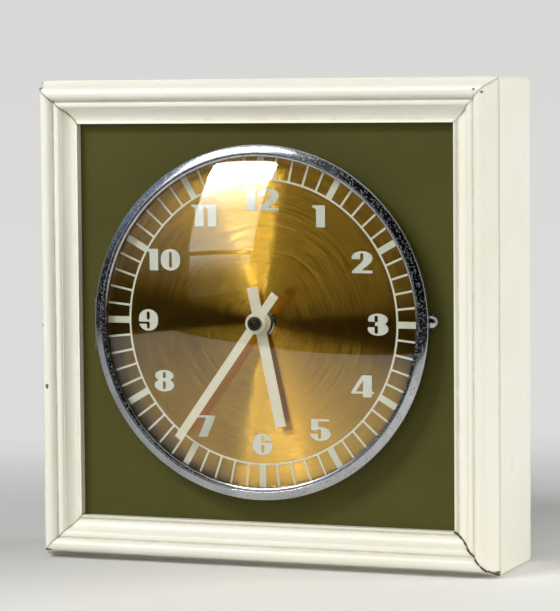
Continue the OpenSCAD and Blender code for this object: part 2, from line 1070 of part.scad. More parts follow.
// The minute hand leans back towards its tip, to stay clear of the glass
module minute_hand() {
    f = minute_front_h;
    color("ivory")
        on_dial()
            rotate(-minute_angle)
                difference() {
                    union() {
                        intersection() {
                            translate([-20, 0, 0])
                                rotate([90, 0, 90])
                                    linear_extrude(height = 40)
                                        polygon([
                                            [-tail_len - 1, f - hand_t],
                                            [-tail_len - 1, f],
                                            [minute_hub_r, f],
                                            [minute_len + 1, f - minute_tip_drop],
                                            [minute_len + 1, f - minute_tip_drop - hand_t],
                                            [minute_hub_r, f - hand_t]
                                        ]);
                            linear_extrude(height = f + 1)
                                hand_plan(minute_len, minute_w, minute_hub_r);
                        }
                        rod([0, 0], collet_r, hour_front_h + 1.2, f - hand_t + eps);
                    }
                    rod([0, 0], arbor_r, hour_front_h, arbor_step_h);
                    rod([0, 0], arbor_neck_r, hour_front_h, f + 1);
                }
}

// Round cap nut with a hole through its face
module hand_nut() {
    f = minute_front_h;
    color("dimgray")
        on_dial()
            rotate_extrude()
                polygon([
                    [arbor_neck_r, f],
                    [hand_nut_r, f],
                    [hand_nut_r, f + hand_nut_t - 1.2],
                    [hand_nut_r - 0.8, f + hand_nut_t - 0.4],
                    [hand_nut_r - 2.2, f + hand_nut_t],
                    [arbor_neck_r - 0.3, f + hand_nut_t],
                    [arbor_neck_r - 0.3, arbor_front_h + 0.2],
                    [arbor_neck_r, arbor_front_h + 0.2]
                ]);
}

// Open box with a front plate, corner posts and bosses for the wheel pivots
module movement_housing() {
    w = housing_w;
    l = housing_h;
    color("whitesmoke")
        on_dial()
            difference() {
                union() {
                    difference() {
                        at([-w / 2, -l / 2], cover_h)
                            cube([w, l, panel_h - cover_h]);
                        at([-w / 2 + wall, -l / 2 + wall], cover_h - 1)
                            cube([w - 2 * wall, l - 2 * wall, plate_h - cover_h + 1]);
                    }
                    for (p = corners)
                        rod(p, corner_post_r, cover_h, plate_h);
                    coil_bracket();
                    for (p = board_post_at)
                        rod(p, 2, board_h, plate_h);
                }
                rod([0, 0], bush_r + run_gap, plate_h - 1, panel_h + 1);
                for (p = corners)
                    rod(p, 1.2, cover_h - 1, cover_h + 10);
                for (p = [minute_at, set_at, third_at, index_at, balance_at])
                    rod(p, pivot_r + run_gap, plate_h - 1, plate_h + 1.2);
            }
}

// Arm that holds the coil between the two balance discs
module coil_bracket() {
    p = balance_at + [0, coil_reach + coil_r + 4.5];
    rod(p, 2.2, coil_h, plate_h);
    at([p[0] - 1.5, balance_at[1] + coil_reach + coil_r - 0.6], coil_h)
        difference() {
            cube([3, 5, coil_t]);
            at([1.5, 0.6 - coil_r], -1)
                cylinder(r = coil_r, h = coil_t + 2);
        }
}

module movement_cover() {
    color("gainsboro")
        on_dial()
            difference() {
                at([-housing_w / 2, -housing_h / 2], case_back_h)
                    cube([housing_w, housing_h, cover_t]);
                rod(set_at, set_arbor_r + run_gap, case_back_h - 1, cover_h + 1);
                for (p = corners)
                    rod(p, 1.3, case_back_h - 1, cover_h + 1);
                at(balance_at, case_back_h - 1)
                    linear_extrude(height = cover_t + 2)
                        intersection() {
                            difference() {
                                circle(slot_out_r);
                                circle(slot_in_r);
                            }
                            polygon(concat([[0, 0]], arc([0, 0], 30, 30, 180 - slot_half, 180 + slot_half)));
                        }
            }
}

module cover_screws() {
    color("silver")
        on_dial()
            for (p = corners) {
                rod(p, 1.2, case_back_h - eps, cover_h + 8);
                difference() {
                    rod(p, 2.4, case_back_h - 1.6, case_back_h);
                    at([p[0] - 3, p[1] - 0.3], case_back_h - 2)
                        cube([6, 0.6, 0.9]);
                }
            }
}

// Threaded bush that comes forward through pan and dial
module centre_bush() {
    color("goldenrod")
        on_dial()
            difference() {
                union() {
                    rod([0, 0], bush_r, plate_h - eps, nut_t + 0.3);
                    rod([0, 0], 7, plate_h - 1.5, plate_h);
                }
                rod([0, 0], bush_bore_r, plate_h - 2, nut_t + 1);
            }
}

// Wheel or pinion with straight sided teeth and ample backlash; phase is a tooth's angle
module gear(n, m, phase) {
    r = n * m / 2;
    tip_r = r + 0.8 * m;
    root_r = r - 1.15 * m;
    step = 360 / n;
    rotate(phase)
        polygon([
            for (i = [0:n - 1], k = [[-0.22, root_r], [-0.09, tip_r], [0.09, tip_r], [0.22, root_r]])
                polar(k[1], (i + k[0]) * step)
        ]);
}

module gear_at(p, h, t, n, m, phase) {
    at(p, h)
        linear_extrude(height = t)
            gear(n, m, phase);
}

// Arbor that carries the minute hand, with the cannon pinion cut on it
module minute_arbor() {
    color("goldenrod")
        on_dial() {
            rod([0, 0], arbor_r, centre_wheel_h - 1, arbor_step_h);
            rod([0, 0], arbor_neck_r, arbor_step_h - eps, arbor_front_h);
            rod([0, 0], 1, bridge_h - bridge_t + 0.1, centre_wheel_h - 1 + eps);
            gear_at([0, 0], minute_wheel_h - 0.2, 1.8, cannon_n, wheel_m, 0);
        }
}

// Wheel on the minute arbor that the train drives, with five round holes
module centre_wheel() {
    color("goldenrod")
        on_dial()
            difference() {
                gear_at([0, 0], centre_wheel_h, 0.8, centre_n, wheel_m, 0);
                for (i = [0:4])
                    rod(polar(9.5, 72 * i), 3.4, centre_wheel_h - 1, centre_wheel_h + 2);
                rod([0, 0], arbor_r, centre_wheel_h - 1, centre_wheel_h + 2);
            }
}

// Hour wheel with the pipe that carries the hour hand
module hour_wheel() {
    color("goldenrod")
        on_dial()
            difference() {
                union() {
                    gear_at([0, 0], hour_wheel_h, 1, hour_n, hour_m, hour_phase);
                    rod([0, 0], 5, hour_wheel_h, plate_h - 1.8);
                    rod([0, 0], pipe_r, hour_wheel_h, hour_front_h + 0.4);
                }
                rod([0, 0], pipe_bore_r, hour_wheel_h - 1, hour_front_h + 1);
            }
}

module pivoted(p, r, h0, h1, back_h) {
    rod(p, r, h0, h1);
    rod(p, pivot_r, h1 - eps, plate_h + 1);
    rod(p, pivot_r, back_h, h0 + eps);
}

// Minute wheel with its pinion for the hour wheel, on a pivot in the front plate only
module minute_wheel() {
    color("goldenrod")
        on_dial() {
            gear_at(minute_at, minute_wheel_h, 1, minute_n, wheel_m, minute_phase);
            gear_at(minute_at, minute_wheel_h + 1 - eps, 2.9, hour_pinion_n, hour_m, 0);
            rod(minute_at, 1.2, minute_wheel_h - 0.5, plate_h - 0.3);
            rod(minute_at, pivot_r, plate_h - 0.3 - eps, plate_h + 1);
        }
}

module third_wheel() {
    color("goldenrod")
        on_dial() {
            difference() {
                gear_at(third_at, third_wheel_h, 0.8, third_n, train_m, 0);
                for (i = [0:4])
                    rod(third_at + polar(7.2, 72 * i), 2.6, third_wheel_h - 1, third_wheel_h + 2);
            }
            gear_at(third_at, third_wheel_h + 0.8 - eps, 3, leaf_n, wheel_m, third_phase);
            pivoted(third_at, 1, third_wheel_h - 1.5, plate_h - 0.3, bridge_h - bridge_t + 0.1);
        }
}

// Small ratchet wheel that the balance steps on
module index_wheel() {
    teeth = 20;
    color("goldenrod")
        on_dial() {
            at(index_at, index_wheel_h)
                linear_extrude(height = 0.6)
                    polygon([
                        for (i = [0:teeth - 1], k = [[0, index_r - 0.7], [0.1, index_r], [0.2, index_r]])
                            polar(k[1], (i + k[0]) * 360 / teeth)
                    ]);
            gear_at(index_at, index_wheel_h + 1.2, 2.2, leaf_n, train_m, index_phase);
            pivoted(index_at, 0.9, index_wheel_h - 0.4, plate_h - 0.3, bridge_h - bridge_t + 0.1);
        }
}

// Brass plate that holds the wheels' rear pivots
module train_bridge() {
    color("goldenrod")
        on_dial()
            difference() {
                at([0, 0], bridge_h - bridge_t)
                    linear_extrude(height = bridge_t)
                        polygon([
                            [-30, -18], [-30, 22], [-6, 22], [8, 10], [18, 10],
                            [27, 10], [36, 0], [36, -20], [10, -34], [0, -34]
                        ]);
                rod([0, 0], 1 + run_gap, bridge_h - 3, bridge_h + 1);
                for (p = [third_at, index_at])
                    rod(p, pivot_r + run_gap, bridge_h - 3, bridge_h + 1);
                rod(set_at, set_arbor_r + run_gap, bridge_h - 3, bridge_h + 1);
                rod(balance_at, staff_r + 0.8, bridge_h - 3, bridge_h + 1);
                for (p = pillar_at)
                    rod(p, 1, bridge_h - 3, bridge_h + 1);
            }
}

module bridge_pillars() {
    color("goldenrod")
        on_dial()
            for (p = pillar_at)
                difference() {
                    rod(p, 2.2, bridge_h, plate_h);
                    rod(p, 1, bridge_h - 1, bridge_h + 5);
                }
}

module bridge_screws() {
    color("silver")
        on_dial()
            for (p = pillar_at) {
                rod(p, 1, bridge_h - bridge_t - eps, bridge_h + 4);
                difference() {
                    rod(p, 2, bridge_h - bridge_t - 1.2, bridge_h - bridge_t);
                    at([p[0] - 2.5, p[1] - 0.25], bridge_h - bridge_t - 1.4)
                        cube([5, 0.5, 0.7]);
                }
            }
}

// Two steel discs on a staff, with a short drive finger beside the ratchet wheel
module balance_wheel() {
    color("silver")
        on_dial() {
            rod(balance_at, staff_r, cock_h + 0.3, plate_h - 0.3);
            rod(balance_at, pivot_r, plate_h - 0.3 - eps, plate_h + 1);
            rod(balance_at, pivot_r, cock_h - cock_t + 0.1, cock_h + 0.3 + eps);
            for (h = [disc_a_h - disc_t, disc_b_h - disc_t])
                rod(balance_at, balance_r, h, h + disc_t);
            at([balance_at[0], balance_at[1] - 0.5], index_wheel_h)
                cube([3.6, 1, 0.6]);
        }
}

// Drive magnets above the staff and counterweights below it
module balance_magnets() {
    color("dimgray")
        on_dial()
            for (y = [-coil_reach, coil_reach]) {
                rod(balance_at + [0, y], 3, disc_a_h - disc_t - magnet_t, disc_a_h - disc_t);
                rod(balance_at + [0, y], 3, disc_b_h, disc_b_h + magnet_t);
            }
}

// Flat spiral ribbon round the staff, with its collet
module hairspring() {
    turns = 5;
    steps = 16;
    r0 = 1.6;
    pitch = 0.8;
    ribbon = 0.25;
    spiral = [for (i = [0:turns * steps]) polar(r0 + pitch * i / steps, 360 * i / steps)];
    inner = [for (i = [turns * steps:-1:0]) polar(r0 - ribbon + pitch * i / steps, 360 * i / steps)];
    color("steelblue")
        on_dial()
            at(balance_at, spring_h) {
                linear_extrude(height = 0.5)
                    polygon(concat(spiral, inner));
                difference() {
                    union() {
                        cylinder(r = staff_r + 0.3, h = 0.5);
                        cube([r0 - 0.1, 0.3, 0.5]);
                    }
                    translate([0, 0, -1])
                        cylinder(r = staff_r, h = 3);
                }
            }
}

// Bridge over the balance, on two feet, with a boss for the regulator
module balance_cock() {
    color("goldenrod")
        on_dial()
            difference() {
                union() {
                    at([0, 0], cock_h - cock_t)
                        linear_extrude(height = cock_t)
                            polygon([
                                balance_at + [-4, -5], balance_at + [4, -5],
                                cock_foot_at[1] + [3, -3], cock_foot_at[1] + [3, 2.8],
                                cock_foot_at[0] + [-3, 2.8], cock_foot_at[0] + [-3, -3]
                            ]);
                    for (p = cock_foot_at)
                        rod(p, 2, cock_h - eps, plate_h);
                    rod(balance_at, 3, cock_h - cock_t - 1, cock_h);
                }
                rod(balance_at, pivot_r + run_gap, cock_h - cock_t - 0.5, cock_h + 1);
                rod(cock_foot_at[1], 0.9, cock_h - cock_t - 1, cock_h + 1);
            }
}

// Lever on the cock's boss whose tip shows in the cover's slot
module regulator_lever() {
    h = cock_h - cock_t - 0.9;
    color("silver")
        on_dial()
            at(balance_at, 0)
                difference() {
                    union() {
                        rod([0, 0], 4.4, h, h + 0.7);
                        at([-lever_tip_r - 1, -1], h)
                            cube([lever_tip_r, 2, 0.7]);
                        at([-lever_tip_r - 1, -1], case_back_h - 2)
                            cube([1.2, 2, h - case_back_h + 2 + eps]);
                    }
                    rod([0, 0], 3 + run_gap, h - 1, h + 2);
                }
}

// Flat round winding between the balance discs
module drive_coil() {
    color("peru")
        on_dial()
            difference() {
                rod(balance_at + [0, coil_reach], coil_r, coil_h, coil_h + coil_t);
                rod(balance_at + [0, coil_reach], 1.8, coil_h - 1, coil_h + coil_t + 1);
            }
}

module circuit_board() {
    color("saddlebrown")
        on_dial()
            at(board_at, board_h - board_size[2])
                cube(board_size);
}

// Transistor can, electrolytic capacitor and two resistors
module board_parts() {
    back_h = board_h - board_size[2];
    mid_y = board_post_at[0][1];
    color("silver")
        on_dial() {
            rod([-27, mid_y], 2.4, back_h - 3.2, back_h);
            at([-22, mid_y], back_h - 2.6)
                rotate([0, 90, 0])
                    cylinder(r = 2.6, h = 11);
            for (x = [-8, -1])
                at([x, mid_y], back_h - 1.2)
                    rotate([0, 90, 0])
                        cylinder(r = 1.2, h = 5);
        }
}

// Knurled knob behind the cover, its arbor and the pinion that turns the minute wheel
module set_knob() {
    color("ivory")
        on_dial() {
            rod(set_at, set_arbor_r, case_back_h - 1 - knob_t + 2, minute_wheel_h);
            gear_at(set_at, minute_wheel_h - eps, 1, cannon_n, wheel_m, set_phase);
            rod(set_at, pivot_r, minute_wheel_h + 1 - 2 * eps, plate_h + 1);
            at(set_at, case_back_h - 1 - knob_t)
                linear_extrude(height = knob_t)
                    difference() {
                        circle(knob_r);
                        for (i = [0:17])
                            rotate(20 * i)
                                translate([knob_r + 0.3, 0])
                                    circle(0.8, $fn = 16);
                    }
        }
}

// Tray below the housing, open at the back
module battery_holder() {
    y1 = -bay_drop;
    y0 = cell_at[1] - cell_r - cell_gap - wall;
    color("whitesmoke")
        on_dial()
            difference() {
                at([-bay_w / 2, y0], bay_front_h - bay_depth)
                    cube([bay_w, y1 - y0, bay_depth]);
                at([-bay_w / 2 + wall, y0 + wall], bay_front_h - bay_depth - 1)
                    cube([bay_w - 2 * wall, y1 - y0 - 2 * wall, bay_depth - wall + 1]);
                at([-14, y0 - 1], bay_front_h - bay_depth - 1)
                    cube([28, wall + 2, 12]);
            }
}

module along_x(x0, x1, r) {
    at([x0, cell_at[1]], cell_h)
        rotate([0, 90, 0])
            cylinder(r = r, h = x1 - x0);
}

module battery_cell() {
    color("dimgray")
        on_dial()
            along_x(cell_x0, cell_x0 + cell_l, cell_r);
    color("silver")
        on_dial()
            along_x(cell_x0 + cell_l - eps, cell_x0 + cell_l + nub_l, nub_r);
}

// Conical wire spring that presses on the cell's flat end, one unbroken tube
coil_turns = 3.5;
wire_r = 0.5;
wire_sides = 6;
rings_a_turn = 8;
contact_x0 = -bay_w / 2 + wall + wire_r;
contact_x1 = cell_x0 - wire_r;
function coil_point(u) = [
    contact_x0 + (contact_x1 - contact_x0) * u,
    cell_at[1] + (8 - 3.5 * u) * cos(360 * coil_turns * u),
    cell_h + (8 - 3.5 * u) * sin(360 * coil_turns * u)
];
coil_rings = coil_turns * rings_a_turn;

function unit(v) = v / norm(v);

// Rings of points round a path, and the faces that join them
module tube(path, r, sides) {
    n = len(path);
    rings = [
        for (i = [0:n - 1])
            let (
                a = path[max(i - 1, 0)],
                b = path[min(i + 1, n - 1)],
                t = unit(b - a),
                u = unit(cross(t, [1, 0, 0])),
                v = cross(t, u)
            )
            for (k = [0:sides - 1])
                path[i] + r * (cos(360 * k / sides) * u + sin(360 * k / sides) * v)
    ];
    polyhedron(
        points = rings,
        faces = concat(
            [[for (k = [0:sides - 1]) sides - 1 - k]],
            [[for (k = [0:sides - 1]) (n - 1) * sides + k]],
            [for (i = [0:n - 2], k = [0:sides - 1])
                [i * sides + k, i * sides + (k + 1) % sides, (i + 1) * sides + k]],
            [for (i = [0:n - 2], k = [0:sides - 1])
                [i * sides + (k + 1) % sides, (i + 1) * sides + (k + 1) % sides, (i + 1) * sides + k]]
        ),
        convexity = 6
    );
}

// Least gap between turns one or more apart
function coil_gap() = min([
    for (i = [0:coil_rings - rings_a_turn], j = [i + rings_a_turn - 1:min(i + rings_a_turn + 1, coil_rings)])
        norm(coil_point(i / coil_rings) - coil_point(j / coil_rings)) - 2 * wire_r
]);

module contact_spring() {
    echo(contact_spring_gap = coil_gap());
    color("silver")
        on_dial()
            tube([for (i = [0:coil_rings]) coil_point(i / coil_rings)], wire_r, wire_sides);
}

module contact_plate() {
    x = cell_x0 + cell_l + nub_l;
    color("silver")
        on_dial() {
            at([x, cell_at[1] - 6], cell_h - 8)
                cube([0.5, 12, 16]);
            at([x + 0.5 - eps, cell_at[1] - 3], cell_h + 6)
                cube([bay_w / 2 - wall - x - 0.5 + eps, 6, 0.5]);
        }
}

case_board_bottom();
case_board_right();
case_board_top();
case_board_left();
moulding_bottom();
moulding_right();
moulding_top();
moulding_left();
colour_panel();
panel_battens();
batten_pins();
corner_blocks();
hanger_plate();
hanger_screws();
dial_pan();
pan_screws();
pan_nuts();
dial_spacer();
dial_plate();
minute_track();
numerals();
dial_nut();
bezel_ring();
dome_glass();
glass_retainer();
thumb_tab();
bezel_catch();
hinge_leaf_fixed();
hinge_leaf_bezel();
hinge_pin();
hinge_screws();
hour_hand();
minute_hand();
hand_nut();
movement_housing();
movement_cover();
cover_screws();
centre_bush();
minute_arbor();
centre_wheel();
hour_wheel();
minute_wheel();
third_wheel();
index_wheel();
train_bridge();
bridge_pillars();
bridge_screws();
balance_wheel();
balance_magnets();
hairspring();
balance_cock();
regulator_lever();
drive_coil();
circuit_board();
board_parts();
set_knob();
battery_holder();
battery_cell();
contact_spring();
contact_plate();
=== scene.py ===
"""Dresses the framed clock's CAD frame: old paint, turned dial, worn bezel, domed glass, hands and a small studio."""

import math

import bpy
import numpy as np
from mathutils import Matrix, Vector


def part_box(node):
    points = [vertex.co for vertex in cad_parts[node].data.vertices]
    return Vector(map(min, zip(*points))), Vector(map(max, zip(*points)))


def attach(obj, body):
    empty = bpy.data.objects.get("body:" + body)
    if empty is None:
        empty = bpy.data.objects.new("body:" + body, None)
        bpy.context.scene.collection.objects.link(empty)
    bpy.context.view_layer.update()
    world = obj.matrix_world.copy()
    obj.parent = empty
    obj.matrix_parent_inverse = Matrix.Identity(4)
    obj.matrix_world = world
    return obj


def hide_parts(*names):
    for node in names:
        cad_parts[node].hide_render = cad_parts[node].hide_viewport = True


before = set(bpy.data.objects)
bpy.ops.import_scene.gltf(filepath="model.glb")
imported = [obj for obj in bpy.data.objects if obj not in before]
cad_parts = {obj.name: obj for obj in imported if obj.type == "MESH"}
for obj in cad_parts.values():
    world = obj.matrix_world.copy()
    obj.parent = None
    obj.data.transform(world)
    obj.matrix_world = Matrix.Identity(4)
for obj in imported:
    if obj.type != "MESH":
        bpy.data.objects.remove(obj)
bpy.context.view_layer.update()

bl_info = {
    "name": "Framed clock finishes",
    "version": (1, 0, 0),
    "blender": (4, 5, 0),
    "location": "3D View > Sidebar > Clock",
    "description": "Finishes and smooth pieces for a square framed clock with a hinged glass",
    "category": "Object",
}

MM = 0.001
WELD = 1e-6  # metres between points that are joined


def reach(name):
    """How far a CAD node reaches towards +X, in millimetres."""
    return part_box(name)[1].x / MM


# Middle of the dial's front face, then sizes of the case, bezel, glass and dial, in millimetres
LOW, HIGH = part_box("dial_plate")
CENTRE = np.array([(LOW.x + HIGH.x) / 2, LOW.y, (LOW.z + HIGH.z) / 2]) / MM
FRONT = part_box("case_board_bottom")[0].y / MM
HALF = reach("case_board_right")
BEZEL_R = reach("bezel_ring")
GLASS_R = reach("dome_glass")
DIAL_R = reach("dial_plate")
DIAL_HOLE_R = 4.05
DIAL_T = 0.8
GLASS_T = 2.0
DOME_RISE = 24.0


def ink(code):
    """Linear colour of a six-figure hexadecimal one; any other colour comes back as it is."""
    if not isinstance(code, str):
        return tuple(code)
    c = np.array([int(code[i : i + 2], 16) for i in (0, 2, 4)]) / 255
    return tuple(np.where(c <= 0.04045, c / 12.92, ((c + 0.055) / 1.055) ** 2.4).tolist())


# Meshes


def add_object(name, data):
    """A new object in the scene."""
    obj = bpy.data.objects.new(name, data)
    bpy.context.scene.collection.objects.link(obj)
    return obj


def put_surface(name, points, poles=(False, False), caps=False, loop_rows=False, smooth=35.0, weights=None, uv=None):
    """Makes an object from a grid of points in millimetres, rows by columns.

    Columns always close on themselves; rows close too when loop_rows is set. A pole row is one point,
    and caps close both ends with flat faces. Faces are turned outwards by the sign of the volume,
    which is the sum of a . (b x c) over the triangles.
    """
    rows, cols = points.shape[:2]
    index = np.arange(rows * cols).reshape(rows, cols)
    if poles[0]:
        index[0] = index[0, 0]
    if poles[1]:
        index[-1] = index[-1, 0]
    a, b = (index, np.roll(index, -1, 0)) if loop_rows else (index[:-1], index[1:])
    bands = np.stack([a, b, np.roll(b, -1, 1), np.roll(a, -1, 1)], -1)
    first, last = int(poles[0]), len(bands) - int(poles[1])
    parts = [bands[first:last].reshape(-1, 4)]
    if poles[0]:
        parts.append(bands[0][:, [0, 1, 2]])
    if poles[1]:
        parts.append(bands[-1][:, [0, 1, 3]])
    if caps:
        parts += [index[:1], index[-1:, ::-1]]
    keep = np.unique(index)
    corners = np.searchsorted(keep, np.concatenate([part.ravel() for part in parts]))
    sizes = np.concatenate([np.full(len(part), part.shape[1]) for part in parts])
    verts = points.reshape(-1, 3)[keep] * MM
    mesh = bpy.data.meshes.new(name)
    mesh.vertices.add(len(verts))
    mesh.vertices.foreach_set("co", verts.ravel())
    mesh.loops.add(len(corners))
    mesh.loops.foreach_set("vertex_index", corners)
    mesh.polygons.add(len(sizes))
    mesh.polygons.foreach_set("loop_start", np.cumsum(sizes) - sizes)
    mesh.update(calc_edges=True)
    mesh.calc_loop_triangles()
    t = np.empty(len(mesh.loop_triangles) * 3, np.int32)
    mesh.loop_triangles.foreach_get("vertices", t)
    p, q, r = (verts[t.reshape(-1, 3)[:, k]] for k in range(3))
    if np.einsum("ij,ij->i", p, np.cross(q, r)).sum() < 0:
        mesh.flip_normals()
    mesh.shade_smooth()
    mesh.set_sharp_from_angle(angle=math.radians(smooth))
    for key, values in (weights or {}).items():
        layer = mesh.attributes.new(key, "FLOAT", "POINT")
        layer.data.foreach_set("value", np.asarray(values, np.float32).reshape(-1)[keep])
    if uv is not None:
        loops = np.empty(len(mesh.loops), np.int32)
        mesh.loops.foreach_get("vertex_index", loops)
        uv = np.asarray(uv, np.float32).reshape(-1, 2)[keep]
        mesh.uv_layers.new(name="turned").data.foreach_set("uv", uv[loops].ravel())
    return add_object(name, mesh)


def turned(name, outline, steps=240, uv=False, **options):
    """Turns a closed outline of (radius, height) round the dial's axis.

    A point is x = cx + r cos a, y = front - h, z = cz + r sin a, with a running once round. An outline
    that starts and ends on the axis gets a pole at each end.
    """
    r, h = np.asarray(outline, float).T
    a = np.linspace(0, 2 * np.pi, steps, endpoint=False)
    x = CENTRE[0] + r[:, None] * np.cos(a)
    z = CENTRE[2] + r[:, None] * np.sin(a)
    y = np.broadcast_to(CENTRE[1] - h[:, None], x.shape)
    on_axis = bool(r[0] == 0 and r[-1] == 0)
    if uv:
        options["uv"] = np.stack(np.broadcast_arrays(r[:, None] / DIAL_R, a / (2 * np.pi)), -1)
    return put_surface(name, np.stack([x, y, z], -1), poles=(on_axis, on_axis), loop_rows=not on_axis, **options)


def arc(centre, radius, start, end, count):
    """Points (cx + r cos a, cy + r sin a) for count angles from start to end, in degrees."""
    a = np.radians(np.linspace(start, end, count))
    return np.asarray(centre) + radius * np.stack([np.cos(a), np.sin(a)], 1)


def softened_line(points, spacing=0.8):
    """The same open line with points at most spacing apart and each corner cut a quarter back on both sides."""
    p = np.asarray(points, float)
    step = np.linalg.norm(np.diff(p, axis=0), axis=1)
    at = np.concatenate([[0], np.cumsum(step)])
    extra = np.arange(0, at[-1], spacing)
    where = np.unique(np.concatenate([at, extra]).round(4))
    p = np.stack([np.interp(where, at, p[:, k]) for k in (0, 1)], 1)
    q = np.empty((2 * len(p) - 2, 2))
    q[0::2] = 0.75 * p[:-1] + 0.25 * p[1:]
    q[1::2] = 0.25 * p[:-1] + 0.75 * p[1:]
    return np.concatenate([p[:1], q, p[-1:]])


def soft_shading():
    """Geometry node group: joins a node's loose triangles and shades them smooth below an edge angle."""

    def build(tree, i):
        merge = node(tree, "GeometryNodeMergeByDistance", {"Geometry": i[0], "Distance": WELD})
        smooth = {"Geometry": merge.outputs["Geometry"], "Shade Smooth": True}
        faces = node(tree, "GeometryNodeSetShadeSmooth", smooth, domain="FACE")
        angle = node(tree, "GeometryNodeInputMeshEdgeAngle").outputs["Unsigned Angle"]
        limit = {0: angle, 1: math.radians(32)}
        sharp = node(tree, "FunctionNodeCompare", limit, data_type="FLOAT", operation="GREATER_THAN").outputs[0]
        hard = {"Geometry": faces.outputs["Geometry"], "Selection": sharp, "Shade Smooth": False}
        return [node(tree, "GeometryNodeSetShadeSmooth", hard, domain="EDGE").outputs["Geometry"]]

    return group("soft shading", [("Geometry", "g", None)], [("Geometry", "g")], build, "GeometryNodeTree")


def finish_node(material, *names, edge=0.0):
    """Gives CAD nodes a material, smooth shading and, where edge is set, a small rounding of that width in mm."""
    for name in names:
        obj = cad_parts[name]
        obj.data.materials.clear()
        obj.data.materials.append(material)
        if edge:
            weld = obj.modifiers.new("join", "WELD")
            weld.merge_threshold = WELD
            flat = obj.modifiers.new("flat faces", "DECIMATE")
            flat.decimate_type = "DISSOLVE"
            flat.angle_limit = math.radians(1)
            bevel = obj.modifiers.new("soft edge", "BEVEL")
            bevel.width = edge * MM
            bevel.segments = 2
            bevel.limit_method = "ANGLE"
            bevel.angle_limit = math.radians(40)
            bevel.use_clamp_overlap = True
        smooth = obj.modifiers.new("soft shading", "NODES")
        smooth.node_group = soft_shading()
        obj.modifiers.new("even normals", "WEIGHTED_NORMAL").keep_sharp = True


def place(obj, material, body, slot, *replaced):
    """Finishes a new piece: its material, the body it rides on and the CAD nodes it stands for. The slot is not used.
    """
    obj.data.materials.append(material)
    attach(obj, body)
    if replaced:
        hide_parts(*replaced)


# Materials


def node(tree, kind, inputs=None, **settings):
    """Adds a node with plain values and links, given by socket name or number; a short name is a shader node's."""
    n = tree.nodes.new(kind if "Node" in kind else "ShaderNode" + kind)
    for key, value in settings.items():
        setattr(n, key, value)
    for key, value in (inputs or {}).items():
        if isinstance(value, bpy.types.NodeSocket):
            tree.links.new(value, n.inputs[key])
        else:
            n.inputs[key].default_value = value
    return n


def maths(tree, operation, a, b=0.0, clamp=False):
    """Output of one Math node."""
    return node(tree, "Math", {0: a, 1: b}, operation=operation, use_clamp=clamp).outputs[0]


def times(tree, a, b):
    return maths(tree, "MULTIPLY", a, b)


def plus(tree, a, b, clamp=False):
    return maths(tree, "ADD", a, b, clamp)


def minus(tree, a, b):
    return maths(tree, "SUBTRACT", a, b)


def vector(tree, operation, a, b=None):
    """Output of one Vector Math node; b is a vector, or the factor of SCALE."""
    inputs = {0: a} if b is None else {0: a, 3 if operation == "SCALE" else 1: b}
    n = node(tree, "VectorMath", inputs, operation=operation)
    return n.outputs["Value" if operation == "LENGTH" else "Vector"]


def between(tree, value, low, high, out_low=0.0, out_high=1.0):
    """Output of a clamped Map Range node."""
    inputs = {"Value": value, "From Min": low, "From Max": high, "To Min": out_low, "To Max": out_high}
    return node(tree, "MapRange", inputs, clamp=True).outputs[0]


def mix(tree, factor, a, b):
    """Output of a colour Mix node."""
    rgba = [v if isinstance(v, bpy.types.NodeSocket) else (*ink(v), 1.0) for v in (a, b)]
    n = node(tree, "Mix", {0: factor, 6: rgba[0], 7: rgba[1]}, data_type="RGBA")
    return n.outputs[2]


def mix_shader(tree, factor, a, b):
    """A Mix Shader node between two shader nodes."""
    return node(tree, "MixShader", {0: factor, 1: a.outputs[0], 2: b.outputs[0]})


def group(name, inputs, outputs, build, kind="ShaderNodeTree"):
    """A node group, built once. build(tree, in) returns the outputs' sockets in order."""
    tree = bpy.data.node_groups.get(name)
    if tree:
        return tree
    tree = bpy.data.node_groups.new(name, kind)
    kinds = {"f": "Float", "c": "Color", "v": "Vector", "g": "Geometry"}
    for label, letter, value in inputs:
        s = tree.interface.new_socket(label, in_out="INPUT", socket_type="NodeSocket" + kinds[letter])
        if value is not None:
            s.default_value = value
    for label, letter in outputs:
        tree.interface.new_socket(label, in_out="OUTPUT", socket_type="NodeSocket" + kinds[letter])
    enter, leave = tree.nodes.new("NodeGroupInput"), tree.nodes.new("NodeGroupOutput")
    for k, socket in enumerate(build(tree, enter.outputs)):
        tree.links.new(socket, leave.inputs[k])
    return tree


def use(tree, made, **inputs):
    """Places a node group with its own values; underscores in the keys stand for spaces."""
    values = {k.replace("_", " "): v for k, v in inputs.items()}
    return node(tree, "Group", values, node_tree=made).outputs


def split(tree, value):
    """The x, y and z outputs of a vector."""
    return node(tree, "SeparateXYZ", {0: value}).outputs


def place_of(tree, scale=1 / MM):
    """Object coordinates, in millimetres unless a scale is given."""
    return vector(tree, "SCALE", node(tree, "TexCoord").outputs["Object"], scale)


def noise(tree, place, scale, detail=3.0, rough=0.55):
    """Factor of a Noise texture, its scale in waves per millimetre."""
    inputs = {"Vector": place, "Scale": scale, "Detail": detail, "Roughness": rough}
    return node(tree, "TexNoise", inputs).outputs["Fac"]


